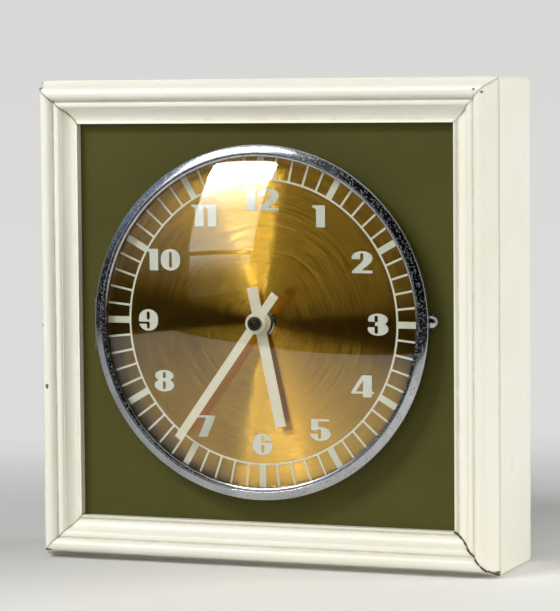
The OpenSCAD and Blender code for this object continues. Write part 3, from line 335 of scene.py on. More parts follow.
def mottle():
    """Group: broad and fine noise that shades one colour towards another and lifts the surface slightly."""

    def build(tree, i):
        at = place_of(tree)
        broad = noise(tree, at, i["Broad"], 2.0)
        fine = noise(tree, at, i["Fine"], 4.0, 0.65)
        blend = plus(tree, times(tree, broad, 0.7), times(tree, fine, 0.3))
        mask = between(tree, blend, 0.26, 0.72)
        amount = times(tree, mask, i["Amount"])
        return mix(tree, amount, i["Colour"], i["Other"]), mask, fine

    inputs = [("Colour", "c", (0.5, 0.5, 0.5, 1)), ("Other", "c", (0.4, 0.4, 0.4, 1)), ("Amount", "f", 0.5)]
    inputs += [("Broad", "f", 0.03), ("Fine", "f", 1.0)]
    return group("mottle", inputs, [("Colour", "c"), ("Mask", "f"), ("Height", "f")], build)


def specks():
    """Group: scattered small round marks. The mask is 1 within a part of each cell's size, for a share of the cells."""

    def build(tree, i):
        at = place_of(tree)
        wobble = node(tree, "TexNoise", {"Vector": at, "Scale": 1.3, "Detail": 2.0}).outputs["Color"]
        shift = vector(tree, "SCALE", wobble, 0.8)
        moved = vector(tree, "ADD", at, shift)
        cells = node(tree, "TexVoronoi", {"Vector": moved, "Scale": i["Scale"]})
        chance = node(tree, "SeparateColor", {0: cells.outputs["Color"]}).outputs
        here = maths(tree, "LESS_THAN", chance[0], i["Share"])
        size = times(tree, i["Size"], plus(tree, 0.35, chance[1]))
        near = between(tree, maths(tree, "DIVIDE", cells.outputs["Distance"], size), 0.7, 1.0, 1.0, 0.0)
        return [times(tree, near, here)]

    inputs = [("Scale", "f", 0.2), ("Share", "f", 0.2), ("Size", "f", 0.12)]
    return group("specks", inputs, [("Mask", "f")], build)


def chip():
    """Group: one chip in the paint, a disc round a point whose edge is broken by noise."""

    def build(tree, i):
        at = place_of(tree)
        away = vector(tree, "SUBTRACT", at, i["Point"])
        away = vector(tree, "MULTIPLY", away, i["Stretch"])
        far = vector(tree, "LENGTH", away)
        ragged = times(tree, noise(tree, at, 1.1), i["Radius"])
        edge = plus(tree, ragged, times(tree, i["Radius"], 0.5))
        return [between(tree, minus(tree, far, edge), -0.15, 0.1, 1.0, 0.0)]

    inputs = [("Point", "v", (0, 0, 0)), ("Stretch", "v", (1, 1, 1)), ("Radius", "f", 1.0)]
    return group("chip", inputs, [("Mask", "f")], build)


def turned_marks():
    """Group: fine circular scratches round the dial's axis, from noise over the radius and a little of the angle."""

    def build(tree, i):
        at = place_of(tree)
        rel = vector(tree, "SUBTRACT", at, tuple(CENTRE))
        flat = vector(tree, "MULTIPLY", rel, (1, 0, 1))
        ring = vector(tree, "SCALE", vector(tree, "NORMALIZE", flat), i["Spread"])
        ring = split(tree, ring)
        out = times(tree, vector(tree, "LENGTH", flat), i["Scale"])
        spot = node(tree, "CombineXYZ", {0: out, 1: ring[0], 2: ring[2]}).outputs[0]
        fine = times(tree, noise(tree, spot, 1.0, 3.0, 0.6), 0.65)
        wide = times(tree, noise(tree, spot, 0.17, 2.0, 0.5), 0.35)
        return [between(tree, plus(tree, fine, wide), 0.35, 0.65)]

    return group("turned marks", [("Scale", "f", 3.0), ("Spread", "f", 2.0)], [("Mask", "f")], build)


def turned_grooves():
    """Group: the normal of a turned face, tilted along the radius by noise whose rings are finer than a scratch."""

    def build(tree, i):
        at = place_of(tree)
        rel = vector(tree, "SUBTRACT", at, tuple(CENTRE))
        flat = vector(tree, "MULTIPLY", rel, (1, 0, 1))
        radius = vector(tree, "LENGTH", flat)
        out = vector(tree, "NORMALIZE", flat)
        ring = vector(tree, "SCALE", out, i["Spread"])
        part = split(tree, ring)
        far = times(tree, radius, i["Scale"])
        spot = node(tree, "CombineXYZ", {0: part[0], 1: far, 2: part[2]}).outputs[0]
        wave = minus(tree, noise(tree, spot, 1.0, 1.0, 0.5), 0.5)
        slope = times(tree, wave, i["Slope"])
        tilt = vector(tree, "SCALE", out, slope)
        turn = {"vector_type": "VECTOR", "convert_from": "OBJECT", "convert_to": "WORLD"}
        tilt = node(tree, "VectorTransform", {0: tilt}, **turn).outputs[0]
        face = node(tree, "NewGeometry").outputs["Normal"]
        both = vector(tree, "ADD", face, tilt)
        return [vector(tree, "NORMALIZE", both)]

    inputs = [("Scale", "f", 9.0), ("Spread", "f", 3.0), ("Slope", "f", 2.0)]
    return group("turned grooves", inputs, [("Normal", "v")], build)


def drawn_lines():
    """Group: straight lines along one direction, from noise whose place is squeezed by a vector."""

    def build(tree, i):
        at = place_of(tree)
        spot = vector(tree, "MULTIPLY", at, i["Squeeze"])
        bend = node(tree, "TexNoise", {"Vector": at, "Scale": 0.02, "Detail": 1.0}).outputs["Color"]
        bend = vector(tree, "SCALE", bend, i["Wander"])
        spot = vector(tree, "ADD", spot, bend)
        fac = noise(tree, spot, 1.0, 4.0, 0.6)
        return between(tree, fac, 0.36, 0.64), fac

    inputs = [("Squeeze", "v", (1, 1, 1)), ("Wander", "f", 0.0)]
    return group("drawn lines", inputs, [("Mask", "f"), ("Height", "f")], build)


def mottled(tree, colour, other, amount, broad, fine):
    """Outputs of the mottle group for two colours."""
    plain = {"Colour": (*ink(colour), 1), "Other": (*ink(other), 1), "Amount": amount, "Broad": broad, "Fine": fine}
    return use(tree, mottle(), **plain)


def finish(name, **plain):
    """A new material with a Principled shader whose constant sockets are set; returns material, tree and shader."""
    made = bpy.data.materials.new(name)
    made.use_nodes = True
    tree = made.node_tree
    shader = tree.nodes["Principled BSDF"]
    for key, value in plain.items():
        shader.inputs[key.replace("_", " ")].default_value = value
    return made, tree, shader


def wire(shader, **values):
    """Links outputs to the shader's sockets; underscores in the keys stand for spaces."""
    for key, value in values.items():
        shader.id_data.links.new(value, shader.inputs[key.replace("_", " ")])


def bump(tree, shader, height, strength, distance):
    """Joins a height to the shader's normal; the distance is in millimetres."""
    n = node(tree, "Bump", {"Height": height, "Strength": strength, "Distance": distance * MM})
    wire(shader, Normal=n.outputs["Normal"])


def plain_finish(name, colour, other, rough, amount=0.5, broad=0.05, fine=1.2, height=0.03, **plain):
    """Colour mottled towards another, roughness varied about its value and a fine bump."""
    made, tree, shader = finish(name, **plain)
    out = mottled(tree, colour, other, amount, broad, fine)
    wire(shader, Base_Color=out["Colour"])
    wire(shader, Roughness=between(tree, out["Mask"], 0, 1, rough * 0.8, min(1, rough * 1.25)))
    bump(tree, shader, out["Height"], 0.4, height)
    return made


def metal_finish(name, colour, dull, rough, squeeze=(1.0, 1.0, 1.0), **plain):
    """Worked metal: drawn lines in the roughness and the bump, and duller patches in the colour."""
    made, tree, shader = finish(name, Metallic=1.0, **plain)
    lines = use(tree, drawn_lines(), Squeeze=squeeze, Wander=0.6)
    out = mottled(tree, colour, dull, 0.6, 0.08, 0.9)
    shade = mix(tree, times(tree, lines["Mask"], 0.25), out["Colour"], tuple(0.7 * c for c in ink(colour)))
    wire(shader, Base_Color=shade, Roughness=between(tree, lines["Mask"], 0, 1, rough * 0.75, rough * 1.3))
    bump(tree, shader, lines["Height"], 0.3, 0.02)
    return made


def wood_finish(name, colour, dark, squeeze):
    """Bare wood: long streaks along the grain and short pores."""
    made, tree, shader = finish(name)
    streaks = use(tree, drawn_lines(), Squeeze=squeeze, Wander=3.0)
    pores = use(tree, drawn_lines(), Squeeze=tuple(6 * s for s in squeeze), Wander=0.5)
    base = mix(tree, streaks["Mask"], colour, dark)
    worn = mix(tree, times(tree, pores["Mask"], 0.35), base, tuple(0.55 * c for c in ink(dark)))
    wire(shader, Base_Color=worn, Roughness=between(tree, pores["Mask"], 0, 1, 0.55, 0.8))
    bump(tree, shader, pores["Height"], 0.5, 0.15)
    return made


def attribute(tree, name):
    """A number stored on the mesh's points."""
    return node(tree, "Attribute", attribute_name=name).outputs["Fac"]


# Chips in the paint: point in mm, stretch and radius
CHIPS = [
    ((-141.6, -47.0, 108.9), (1.0, 0.3, 0.7), 1.1),
    ((-144.6, -45.5, 147.3), (1.0, 0.3, 0.8), 0.9),
    ((-143.4, -46.0, 5.0), (0.45, 0.3, 1.2), 1.4),
    ((138.4, -47.0, 292.6), (1.0, 0.3, 1.0), 0.8),
    ((143.3, -46.5, 290.8), (1.0, 0.3, 1.0), 0.8),
    ((-144.4, -45.0, 296.0), (1.0, 0.3, 0.45), 1.2),
    ((149.2, -34.5, 2.6), (0.7, 0.4, 1.2), 1.9),
    ((137.0, -46.5, 18.0), (0.8, 0.3, 1.1), 0.8),
]


def paint_finish(name, paint, moulded):
    """Old ivory paint: yellowed patches, dirt and painted shade in the grooves, specks, chips and open mitres."""
    made, tree, shader = finish(name)
    out = mottled(tree, paint.colour, paint.yellowed, paint.age, 0.018, 0.5)
    colour = out["Colour"]
    share = paint.speck_share if moulded else 0.0
    marks = use(tree, specks(), Scale=0.11, Share=share, Size=0.05)["Mask"]
    colour = mix(tree, times(tree, marks, 0.7), colour, paint.dirt_and_shade)
    height = times(tree, out["Height"], 0.5)
    if moulded:
        # Dirt and painted shade: the groove weight darkens the grooves and inner corners, in patches, towards the dirt
        # colour.
        patches = between(tree, noise(tree, place_of(tree), 0.12), 0.3, 0.7, 0.35, 1.0)
        dirt_and_shade = times(tree, attribute(tree, "groove"), patches)
        colour = mix(tree, times(tree, dirt_and_shade, paint.groove_dirt_and_shade), colour, paint.dirt_and_shade)
        for point, stretch, radius in CHIPS:
            m = use(tree, chip(), Point=point, Stretch=stretch, Radius=radius)["Mask"]
            marks = maths(tree, "MAXIMUM", marks, m)
            colour = mix(tree, m, colour, paint.undercoat)
        waves = between(tree, noise(tree, place_of(tree), 0.35), 0.3, 0.7, 0.3, 1.5)
        ragged = times(tree, attribute(tree, "opening"), waves)
        beside = minus(tree, attribute(tree, "mitre"), ragged)
        crack = between(tree, beside, -0.05, 0.12, 1.0, 0.0)
        stain = between(tree, beside, 0.0, 1.6, 0.35, 0.0)
        colour = mix(tree, stain, colour, paint.dirt_and_shade)
        colour = mix(tree, crack, colour, paint.crack)
        height = minus(tree, height, times(tree, crack, 2.0))
    height = minus(tree, height, times(tree, marks, 1.2))
    wire(shader, Base_Color=colour)
    rough = between(tree, out["Mask"], 0, 1, paint.roughness * 0.85, paint.roughness * 1.2)
    wire(shader, Roughness=plus(tree, rough, times(tree, marks, 0.3), clamp=True))
    bump(tree, shader, height, 0.2, 0.08)
    return made


def gold_finish(dial):
    """Circular brushed gold: highlights stretch along the radius, across the fine turned scratches."""
    made, tree, shader = finish("turned gold", Metallic=1.0, Anisotropic=dial.stretch)
    marks = use(tree, turned_marks(), Scale=6.0, Spread=5.0)["Mask"]
    fine = use(tree, turned_marks(), Scale=14.0, Spread=12.0)["Mask"]
    age = mottled(tree, dial.colour, dial.aged, 0.5, 0.03, 0.35)
    lines = mix(tree, 0.4, marks, fine)
    lines = times(tree, lines, dial.line_depth)
    colour = mix(tree, lines, age["Colour"], tuple(0.55 * c for c in dial.colour))
    pits = use(tree, specks(), Scale=0.09, Share=0.28, Size=0.045)["Mask"]
    colour = mix(tree, times(tree, pits, 0.6), colour, dial.spot)
    wire(shader, Base_Color=colour)
    rough = between(tree, marks, 0, 1, dial.roughness * 0.9, dial.roughness * 1.1)
    wire(shader, Roughness=plus(tree, rough, times(tree, pits, 0.2)))
    grooves = use(tree, turned_grooves(), Scale=30.0, Spread=2.0, Slope=dial.groove_slope)["Normal"]
    wire(shader, Normal=grooves)
    along = node(tree, "Tangent", direction_type="UV_MAP", uv_map="turned")
    wire(shader, Tangent=along.outputs[0])
    return made


def chrome_finish(name, bezel, pitted):
    """Old plating: mirror bright, clouded in patches, with dark pits and small brown rust spots."""
    made, tree, shader = finish(name)
    cloud = mottled(tree, bezel.colour, bezel.clouded, 0.65, 0.05, 1.6)
    pits = use(tree, specks(), Scale=1.2, Share=pitted, Size=0.42)["Mask"]
    rust = use(tree, specks(), Scale=0.4, Share=pitted * 0.4, Size=0.14)["Mask"]
    colour = mix(tree, times(tree, pits, 0.4), cloud["Colour"], bezel.pit)
    colour = mix(tree, times(tree, rust, 0.8), colour, bezel.rust)
    marks = maths(tree, "MAXIMUM", pits, rust)
    wire(shader, Base_Color=colour, Metallic=minus(tree, 1.0, times(tree, marks, 0.3)))
    rough = between(tree, cloud["Mask"], 0, 1, bezel.roughness * 0.6, bezel.roughness * 1.6)
    wire(shader, Roughness=plus(tree, rough, times(tree, marks, 0.4), clamp=True))
    bump(tree, shader, minus(tree, times(tree, cloud["Height"], 0.2), marks), 0.35, 0.03)
    return made


def glass_finish(bezel):
    """Clear glass that lets lamp light through to the dial, with faint dust that only roughens it."""
    made, tree, shader = finish("clear glass", Transmission_Weight=1.0, IOR=1.5, Metallic=0.0)
    shader.inputs["Base Color"].default_value = (*bezel.glass_tint, 1)
    dust = use(tree, specks(), Scale=0.12, Share=0.12, Size=0.03)["Mask"]
    smear = noise(tree, place_of(tree), 0.02)
    rough = plus(tree, between(tree, smear, 0.45, 0.75, 0.0, 0.02), times(tree, dust, 0.25))
    wire(shader, Roughness=rough)
    clear = node(tree, "BsdfTransparent", {"Color": (0.95, 0.96, 0.95, 1)})
    path = node(tree, "LightPath")
    lit = maths(tree, "MAXIMUM", path.outputs["Is Shadow Ray"], path.outputs["Is Diffuse Ray"])
    both = mix_shader(tree, lit, shader, clear)
    tree.links.new(both.outputs[0], tree.nodes["Material Output"].inputs["Surface"])
    return made


# Settings


def tint(name, about, code):
    """A colour property whose default is a hexadecimal colour."""
    plain = {"subtype": "COLOR", "size": 3, "min": 0, "max": 1}
    return bpy.props.FloatVectorProperty(name=name, description=about, default=ink(code), **plain)


def factor(name, about, value):
    """A factor property from 0 to 1."""
    return number(name, about, value, subtype="FACTOR", max=1)


def number(name, about, value, **kind):
    """A number property from 0 up."""
    return bpy.props.FloatProperty(name=name, description=about, default=value, min=0, **kind)


POWER = {"subtype": "POWER", "unit": "POWER"}


class ClockPaint(bpy.types.PropertyGroup):
    """Paint on the case, the mouldings and the panel."""

    colour: tint("Ivory", "Colour of the clean paint", "f4f3e8")
    yellowed: tint("Yellowed", "Colour of the aged patches", "ece7d0")
    # Dirt colour for specks and mitre stains; in the moulding's grooves it also paints shade.
    dirt_and_shade: tint("Dirt", "Colour of dirt in the grooves", "8d7f5e")
    undercoat: tint("Undercoat", "Colour inside the chips", "6e5a45")
    crack: tint("Crack", "Colour of an open mitre", "2e2218")
    panel: tint("Panel", "Colour of the matt panel", "454415")
    panel_faded: tint("Faded panel", "Colour of the panel's faded patches", "524d1e")
    age: factor("Age", "How far the paint has yellowed", 0.55)
    # How far the grooves darken, partly dirt and partly painted shade.
    groove_dirt_and_shade: factor("Groove dirt", "How much dirt lies in the grooves", 0.36)
    speck_share: factor("Specks", "Share of places that have a speck", 0.04)
    roughness: factor("Roughness", "Roughness of the paint", 0.3)


class ClockDial(bpy.types.PropertyGroup):
    """Turned gold dial with its print."""

    colour: tint("Gold", "Colour of the gold lacquer", "e2b344")
    aged: tint("Aged gold", "Colour of its aged patches", "c49034")
    spot: tint("Spot", "Colour of specks on the dial", "4a3716")
    print_colour: tint("Numerals", "Colour of the printed numerals", "d9dad0")
    print_worn: tint("Worn print", "Colour of the worn print", "c2c1b2")
    track: tint("Minute circle", "Colour of the printed minute circle", "dedac6")
    stretch: factor("Stretch", "How far highlights stretch along the radius", 1.0)
    line_depth: factor("Line depth", "How dark the turned lines are", 0.12)
    roughness: factor("Roughness", "Roughness of the gold within a groove", 0.17)
    groove_slope: number("Groove slope", "How steep the sides of the turned grooves are", 2.6)


class ClockBezel(bpy.types.PropertyGroup):
    """Hinged bezel with its glass."""

    colour: tint("Plating", "Colour of the bright plating", "c9cbd0")
    clouded: tint("Clouded", "Colour of the clouded plating", "85878c")
    pit: tint("Pit", "Colour of the dark pits", "2b2a28")
    rust: tint("Rust", "Colour of the rust spots", "5a4433")
    glass_tint: tint("Glass", "Tint of the glass", "fbfdfc")
    pitting: factor("Pitting", "Share of places that have a pit", 0.6)
    roughness: factor("Roughness", "Roughness of the plating", 0.14)


class ClockHands(bpy.types.PropertyGroup):
    """Hands and the nut in front of them."""

    enamel: tint("Enamel", "Colour of the hands", "e6dec6")
    enamel_worn: tint("Worn enamel", "Colour of the worn enamel", "cfc4a6")
    nut: tint("Nut", "Colour of the dark nut", "2c2620")


class ClockStage(bpy.types.PropertyGroup):
    """Studio and camera."""

    floor: tint("Floor", "Colour of the floor in front", "eeeeeb")
    # Painted shade on the floor behind the clock.
    floor_far_shaded: tint("Far floor", "Colour of the floor behind the clock", "c8c8c7")
    backdrop: tint("Backdrop", "Colour of the backdrop", "dcdcdb")
    # Painted shade low on the backdrop.
    backdrop_low_shaded: tint("Low backdrop", "Colour low on the backdrop", "c3c3c2")
    key: number("Key", "Strength of the softbox at its top", 19.0)
    rays: number("Rays", "Strength of the softbox's two hot edges", 200.0)
    fill: number("Fill", "Power of the right lamp", 17.0, **POWER)
    top: number("Top", "Power of the overhead lamp", 0.2, **POWER)
    side: number("Side", "Power of the near left lamp", 1.0, **POWER)
    front: number("Front", "Power of the lamp behind the camera", 10.0, **POWER)
    lens: number("Lens", "Focal length of the camera", 176.1, subtype="DISTANCE_CAMERA", unit="CAMERA")


# Pieces


def moulding_section():
    """Outline of the moulding as (inset from the outer edge, height in front of the boards) in mm.

    A slope, the bead's arc, a fillet, the hollow cove's arc and the sight lip, then the flat back.
    The second result is how much dirt and painted shade each point gets: a bell round each inner corner.
    """
    crown = arc((8.55, 11.55), 3.95, 192, -6, 44)
    cove = arc((24.5, 11.4), 6.7, 190, 270, 28)
    fillet = [[13.45, 11.05], [13.9, 11.65], [14.6, 11.9], [16.2, 11.65], [17.0, 11.05], [17.5, 10.3]]
    lip = [[25.1, 4.8], [26.2, 6.3], [27.1, 6.5], [27.1, 1.0]]
    front = softened_line(np.concatenate([[[0.6, 0.0], [1.3, 1.1]], crown, fillet, cove, lip]))
    line = np.concatenate([front, [[14.3, 1.0], [14.3, 0.0]]])
    corners = [((0.7, 0.3), 0.7, 0.8), ((13.0, 11.0), 0.8, 1.0), ((24.9, 4.8), 0.9, 0.9), ((17.4, 10.2), 0.5, 0.35)]
    dirt_and_shade = sum(w * np.exp(-(((line - c) ** 2).sum(1)) / s**2) for c, s, w in corners)
    return line, np.clip(dirt_and_shade, 0, 1)


# Side: turn in degrees, then how far the mitre is open at its low and its high end, in mm
SIDES = {"bottom": (0, 0.16, 0.8), "right": (-90, 0.8, 0.1), "top": (180, 0.1, 0.3), "left": (90, 0.3, 0.16)}


def moulding_piece(side):
    """One mitred length. A section point (d, h) at s from -1 to 1 lies at x = s (half - d), y = front - h, z = d.

    That is then turned about the middle of the case to its side.
    """
    turn, low, high = SIDES[side]
    line, dirt_and_shade = moulding_section()
    s = np.linspace(-1, 1, 41)[:, None]
    d, h = line.T
    half = HALF - d
    gap = np.where(s < 0, low, high) * 0.25
    x = s * (half - gap)
    z = np.broadcast_to(d - HALF, x.shape)
    y = np.broadcast_to(FRONT - h, x.shape)
    t = math.radians(turn)
    points = np.stack([x * math.cos(t) + z * math.sin(t), y, HALF - x * math.sin(t) + z * math.cos(t)], -1)
    weights = {
        # groove: how much dirt and painted shade each point of the section gets
        "groove": np.broadcast_to(dirt_and_shade, x.shape),
        "mitre": half - np.abs(x),
        "opening": np.broadcast_to(np.where(s < 0, low, high), x.shape),
    }
    return put_surface(f"moulding.{side}", points, caps=True, weights=weights)


class CLOCK_OT_case(bpy.types.Operator):
    """Finish the case boards, battens, blocks and hanger"""

    bl_idname = "clock.case"
    bl_label = "Case"

    def execute(self, context):
        paint = context.scene.clock_paint
        boards = paint_finish("case paint", paint, False)
        finish_node(boards, *[f"case_board_{s}" for s in SIDES], edge=0.5)
        pine = wood_finish("batten wood", "c9a271", "a57b4a", (0.03, 0.6, 0.6))
        finish_node(pine, "panel_battens", edge=0.4)
        blocks = wood_finish("block wood", "bf9664", "8f6a3f", (0.5, 0.03, 0.5))
        finish_node(blocks, "corner_blocks", edge=0.5)
        zinc = metal_finish("zinc plate", "b9b9b4", "8f8e86", 0.38, (0.05, 1.5, 1.5))
        finish_node(zinc, "hanger_plate", edge=0.2)
        finish_node(zinc, "hanger_screws", "batten_pins")
        return {"FINISHED"}


class CLOCK_OT_mouldings(bpy.types.Operator):
    """Carry the moulding's section along the four mitred lengths"""

    bl_idname = "clock.mouldings"
    bl_label = "Mouldings"

    def execute(self, context):
        paint = context.scene.clock_paint
        for side in SIDES:
            made = paint_finish(f"moulding paint {side}", paint, True)
            place(moulding_piece(side), made, "case", f"moulding_{side}_paint", f"moulding_{side}")
        return {"FINISHED"}


class CLOCK_OT_panel(bpy.types.Operator):
    """Finish the coloured panel behind the moulding"""

    bl_idname = "clock.panel"
    bl_label = "Panel"

    def execute(self, context):
        paint = context.scene.clock_paint
        made, tree, shader = finish("olive panel", Specular_IOR_Level=0.25)
        out = mottled(tree, paint.panel, paint.panel_faded, 0.8, 0.02, 0.8)
        lint = use(tree, specks(), Scale=0.16, Share=0.12, Size=0.04)["Mask"]
        colour = mix(tree, times(tree, lint, 0.35), out["Colour"], "8f8a62")
        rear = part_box("colour_panel")[1].y / MM
        depth = split(tree, place_of(tree))[1]
        board = mix(tree, out["Height"], "6f4f30", "8a6a45")
        colour = mix(tree, between(tree, depth, rear - 0.3, rear - 0.1), colour, board)
        wire(shader, Base_Color=colour, Roughness=between(tree, out["Mask"], 0, 1, 0.55, 0.75))
        grain = noise(tree, place_of(tree), 2.2, 4.0, 0.7)
        bump(tree, shader, plus(tree, out["Height"], times(tree, grain, 0.6)), 0.4, 0.06)
        finish_node(made, "colour_panel", edge=0.3)
        return {"FINISHED"}


class CLOCK_OT_dial(bpy.types.Operator):
    """Turn the dial plate and finish its print, its nut and the pan behind it"""

    bl_idname = "clock.dial"
    bl_label = "Dial"

    def execute(self, context):
        dial = context.scene.clock_dial
        rings = np.stack([np.linspace(DIAL_R - 0.06, DIAL_HOLE_R, 60), np.zeros(60)], 1)
        rear = [[DIAL_HOLE_R, -DIAL_T], [DIAL_R, -DIAL_T], [DIAL_R, -0.06]]
        outline = np.concatenate([rear, rings])
        place(turned("dial.plate", outline, 360, uv=True), gold_finish(dial), "case", "dial_gold", "dial_plate")
        figures = plain_finish("numeral print", dial.print_colour, dial.print_worn, 0.5, 0.7, 0.2, 1.5, 0.02)
        finish_node(figures, "numerals")
        track = plain_finish("minute print", dial.track, dial.print_worn, 0.5, 0.6, 0.1, 1.5, 0.02)
        finish_node(track, "minute_track")
        nut = chrome_finish("dial nut chrome", context.scene.clock_bezel, 0.15)
        finish_node(nut, "dial_nut", edge=0.15)
        pan = plain_finish("pan lacquer", "b7b2a2", "96917f", 0.4, 0.5, 0.04, 0.8, 0.03, Metallic=0.35)
        finish_node(pan, "dial_pan")
        finish_node(metal_finish("spacer brass", "d3ad62", "a98a4e", 0.3), "dial_spacer")
        screw = metal_finish("pan screw steel", "aeb0b0", "86857f", 0.35)
        finish_node(screw, "pan_screws", "pan_nuts")
        return {"FINISHED"}


class CLOCK_OT_bezel(bpy.types.Operator):
    """Turn the rolled bezel and finish its tab, retainer, catch and hinge"""

    bl_idname = "clock.bezel"
    bl_label = "Bezel"

    def execute(self, context):
        bezel = context.scene.clock_bezel
        r = BEZEL_R
        skirt = [[r - 4, -3.7], [r - 2.4, -3.7], [r - 2.2, -3.4], [r - 1.3, -0.8], [r - 0.35, 2.8]]
        shoulder = arc((r - 1.51, 6.06), 1.5, -8, 57, 16)
        crown = arc((r - 9.07, -6.72), 16.35, 59.4, 75.4, 24)
        crease = arc((r - 5.04, 8.76), 0.35, 80, 175, 9)
        band = np.concatenate([shoulder, crown, crease])
        lip = [[r - 5.5, 8.25], [r - 5.68, 8.05], [r - 5.86, 8.05], [r - 6.05, 8.25], [r - 6.5, 8.2]]
        lip += [[r - 7.1, 7.95], [r - 7.5, 7.6], [r - 7.65, 7.3], [r - 7.65, 6.85]]
        seat = [[r - 5.6, 5.8], [r - 5.4, 5.8], [r - 5.4, 3.3], [r - 4, 3.3]]
        outline = np.concatenate([skirt, band, lip, seat])
        chrome = chrome_finish("bezel chrome", bezel, bezel.pitting)
        place(turned("bezel.ring", outline, 420, smooth=40.0), chrome, "bezel", "bezel_chrome", "bezel_ring")
        finish_node(chrome_finish("tab chrome", bezel, 0.3), "thumb_tab", edge=0.15)
        dull = metal_finish("dull steel", "a9a79d", "7d776a", 0.36, (1.2, 1.2, 0.1))
        finish_node(dull, "hinge_leaf_fixed", "hinge_leaf_bezel", "hinge_pin", "hinge_screws", "bezel_catch")
        dark = plain_finish("dark retainer", "3a3a38", "262522", 0.4, 0.6, 0.1, 1.0, 0.03, Metallic=0.5)
        finish_node(dark, "glass_retainer")
        return {"FINISHED"}


class CLOCK_OT_glass(bpy.types.Operator):
    """Turn the domed glass, a thin shell between two spheres with one centre"""

    bl_idname = "clock.glass"
    bl_label = "Glass"

    def execute(self, context):
        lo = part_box("dome_glass")[0]
        top = CENTRE[1] - lo.y / MM
        edge, rise, thick = GLASS_R - GLASS_T, DOME_RISE, GLASS_T
        ball = (edge**2 + rise**2) / (2 * rise)
        middle = top - ball
        steps = np.linspace(0, 1, 64)
        outer, inner = (np.arcsin(GLASS_R / q) * steps for q in (ball, ball - thick))
        front = np.stack([ball * np.sin(outer), middle + ball * np.cos(outer)], 1)
        back = np.stack([(ball - thick) * np.sin(inner), middle + (ball - thick) * np.cos(inner)], 1)[::-1]
        outline = np.concatenate([front, back])
        outline[[0, -1], 0] = 0
        obj = turned("glass.dome", outline, 300)
        place(obj, glass_finish(context.scene.clock_bezel), "bezel", "dome_glass", "dome_glass")
        return {"FINISHED"}


class CLOCK_OT_hands(bpy.types.Operator):
    """Finish the hands and their nut"""

    bl_idname = "clock.hands"
    bl_label = "Hands"

    def execute(self, context):
        hands = context.scene.clock_hands
        enamel = plain_finish("hand enamel", hands.enamel, hands.enamel_worn, 0.35, 0.6, 0.08, 1.2, 0.03)
        finish_node(enamel, "hour_hand", "minute_hand", edge=0.22)
        nut = plain_finish("dark nut", hands.nut, "4a4038", 0.3, 0.5, 0.3, 2.0, 0.02, Metallic=0.7)
        finish_node(nut, "hand_nut", edge=0.1)
        return {"FINISHED"}


class CLOCK_OT_movement(bpy.types.Operator):
    """Finish the movement's housing, wheels, balance and electric parts"""

    bl_idname = "clock.movement"
    bl_label = "Movement"

    def execute(self, context):
        housing = plain_finish("housing plastic", "d8d5c8", "c9c4b2", 0.5, 0.5, 0.03, 1.8, 0.05)
        finish_node(housing, "movement_housing", edge=0.3)
        cover = plain_finish("cover plastic", "cfcab8", "beb79f", 0.32, 0.5, 0.03, 1.8, 0.03)
        finish_node(cover, "movement_cover", edge=0.3)
        knob = plain_finish("knob plastic", "dcd8ca", "c8c1ab", 0.28, 0.5, 0.1, 1.5, 0.03)
        finish_node(knob, "set_knob", edge=0.2)
        brass = metal_finish("movement brass", "dcb766", "b08d4c", 0.28, (1.0, 1.0, 1.0))
        names = ["centre_bush", "minute_arbor", "centre_wheel", "hour_wheel", "minute_wheel", "third_wheel"]
        finish_node(brass, *names, "index_wheel", "train_bridge", "bridge_pillars", "balance_cock")
        steel = metal_finish("screw steel", "b4b6b6", "84837d", 0.32)
        finish_node(steel, "cover_screws", "bridge_screws", "balance_wheel", "regulator_lever")
        magnet = plain_finish("magnet", "4c4b4a", "383635", 0.4, 0.5, 0.3, 2.0, 0.03, Metallic=0.6)
        finish_node(magnet, "balance_magnets")
        finish_node(metal_finish("blued spring", "3c4f7c", "2b3350", 0.25), "hairspring")
        copper = metal_finish("coil copper", "b5653a", "8c4427", 0.35, (4.0, 0.2, 4.0))
        finish_node(copper, "drive_coil")
        board = plain_finish("board laminate", "8f6a3a", "7c582c", 0.45, 0.6, 0.2, 2.0, 0.03)
        finish_node(board, "circuit_board", edge=0.1)
        finish_node(metal_finish("tinned parts", "b9babb", "8d8c88", 0.35), "board_parts")
        return {"FINISHED"}


# Along x in mm: the cell's middle, half its jacket and where the jacket turns gold
CELL_X, JACKET_HALF, JACKET_GOLD = 2.75, 23.6, 8.0


class CLOCK_OT_battery(bpy.types.Operator):
    """Finish the cell, its holder and contacts"""

    bl_idname = "clock.battery"
    bl_label = "Battery"

    def execute(self, context):
        holder = plain_finish("holder plastic", "d3cfc0", "c0baa5", 0.5, 0.5, 0.03, 1.8, 0.05)
        finish_node(holder, "battery_holder", edge=0.25)
        made, tree, shader = finish("cell jacket")
        at = split(tree, place_of(tree))
        band = between(tree, at[0], JACKET_GOLD, JACKET_GOLD + 0.3)
        out = mottled(tree, "2f3d5c", "3a4868", 0.6, 0.05, 1.4)
        end = between(tree, maths(tree, "ABSOLUTE", minus(tree, at[0], CELL_X)), JACKET_HALF, JACKET_HALF + 0.2)
        colour = mix(tree, end, mix(tree, band, out["Colour"], "b8923f"), "b9b9b4")
        wire(shader, Base_Color=colour, Metallic=end, Roughness=between(tree, out["Mask"], 0, 1, 0.25, 0.4))
        bump(tree, shader, out["Height"], 0.3, 0.03)
        finish_node(made, "battery_cell", edge=0.3)
        contact = metal_finish("contact steel", "bfc0be", "92918b", 0.3)
        finish_node(contact, "contact_spring", "contact_plate")
        return {"FINISHED"}


# Studio: places in metres

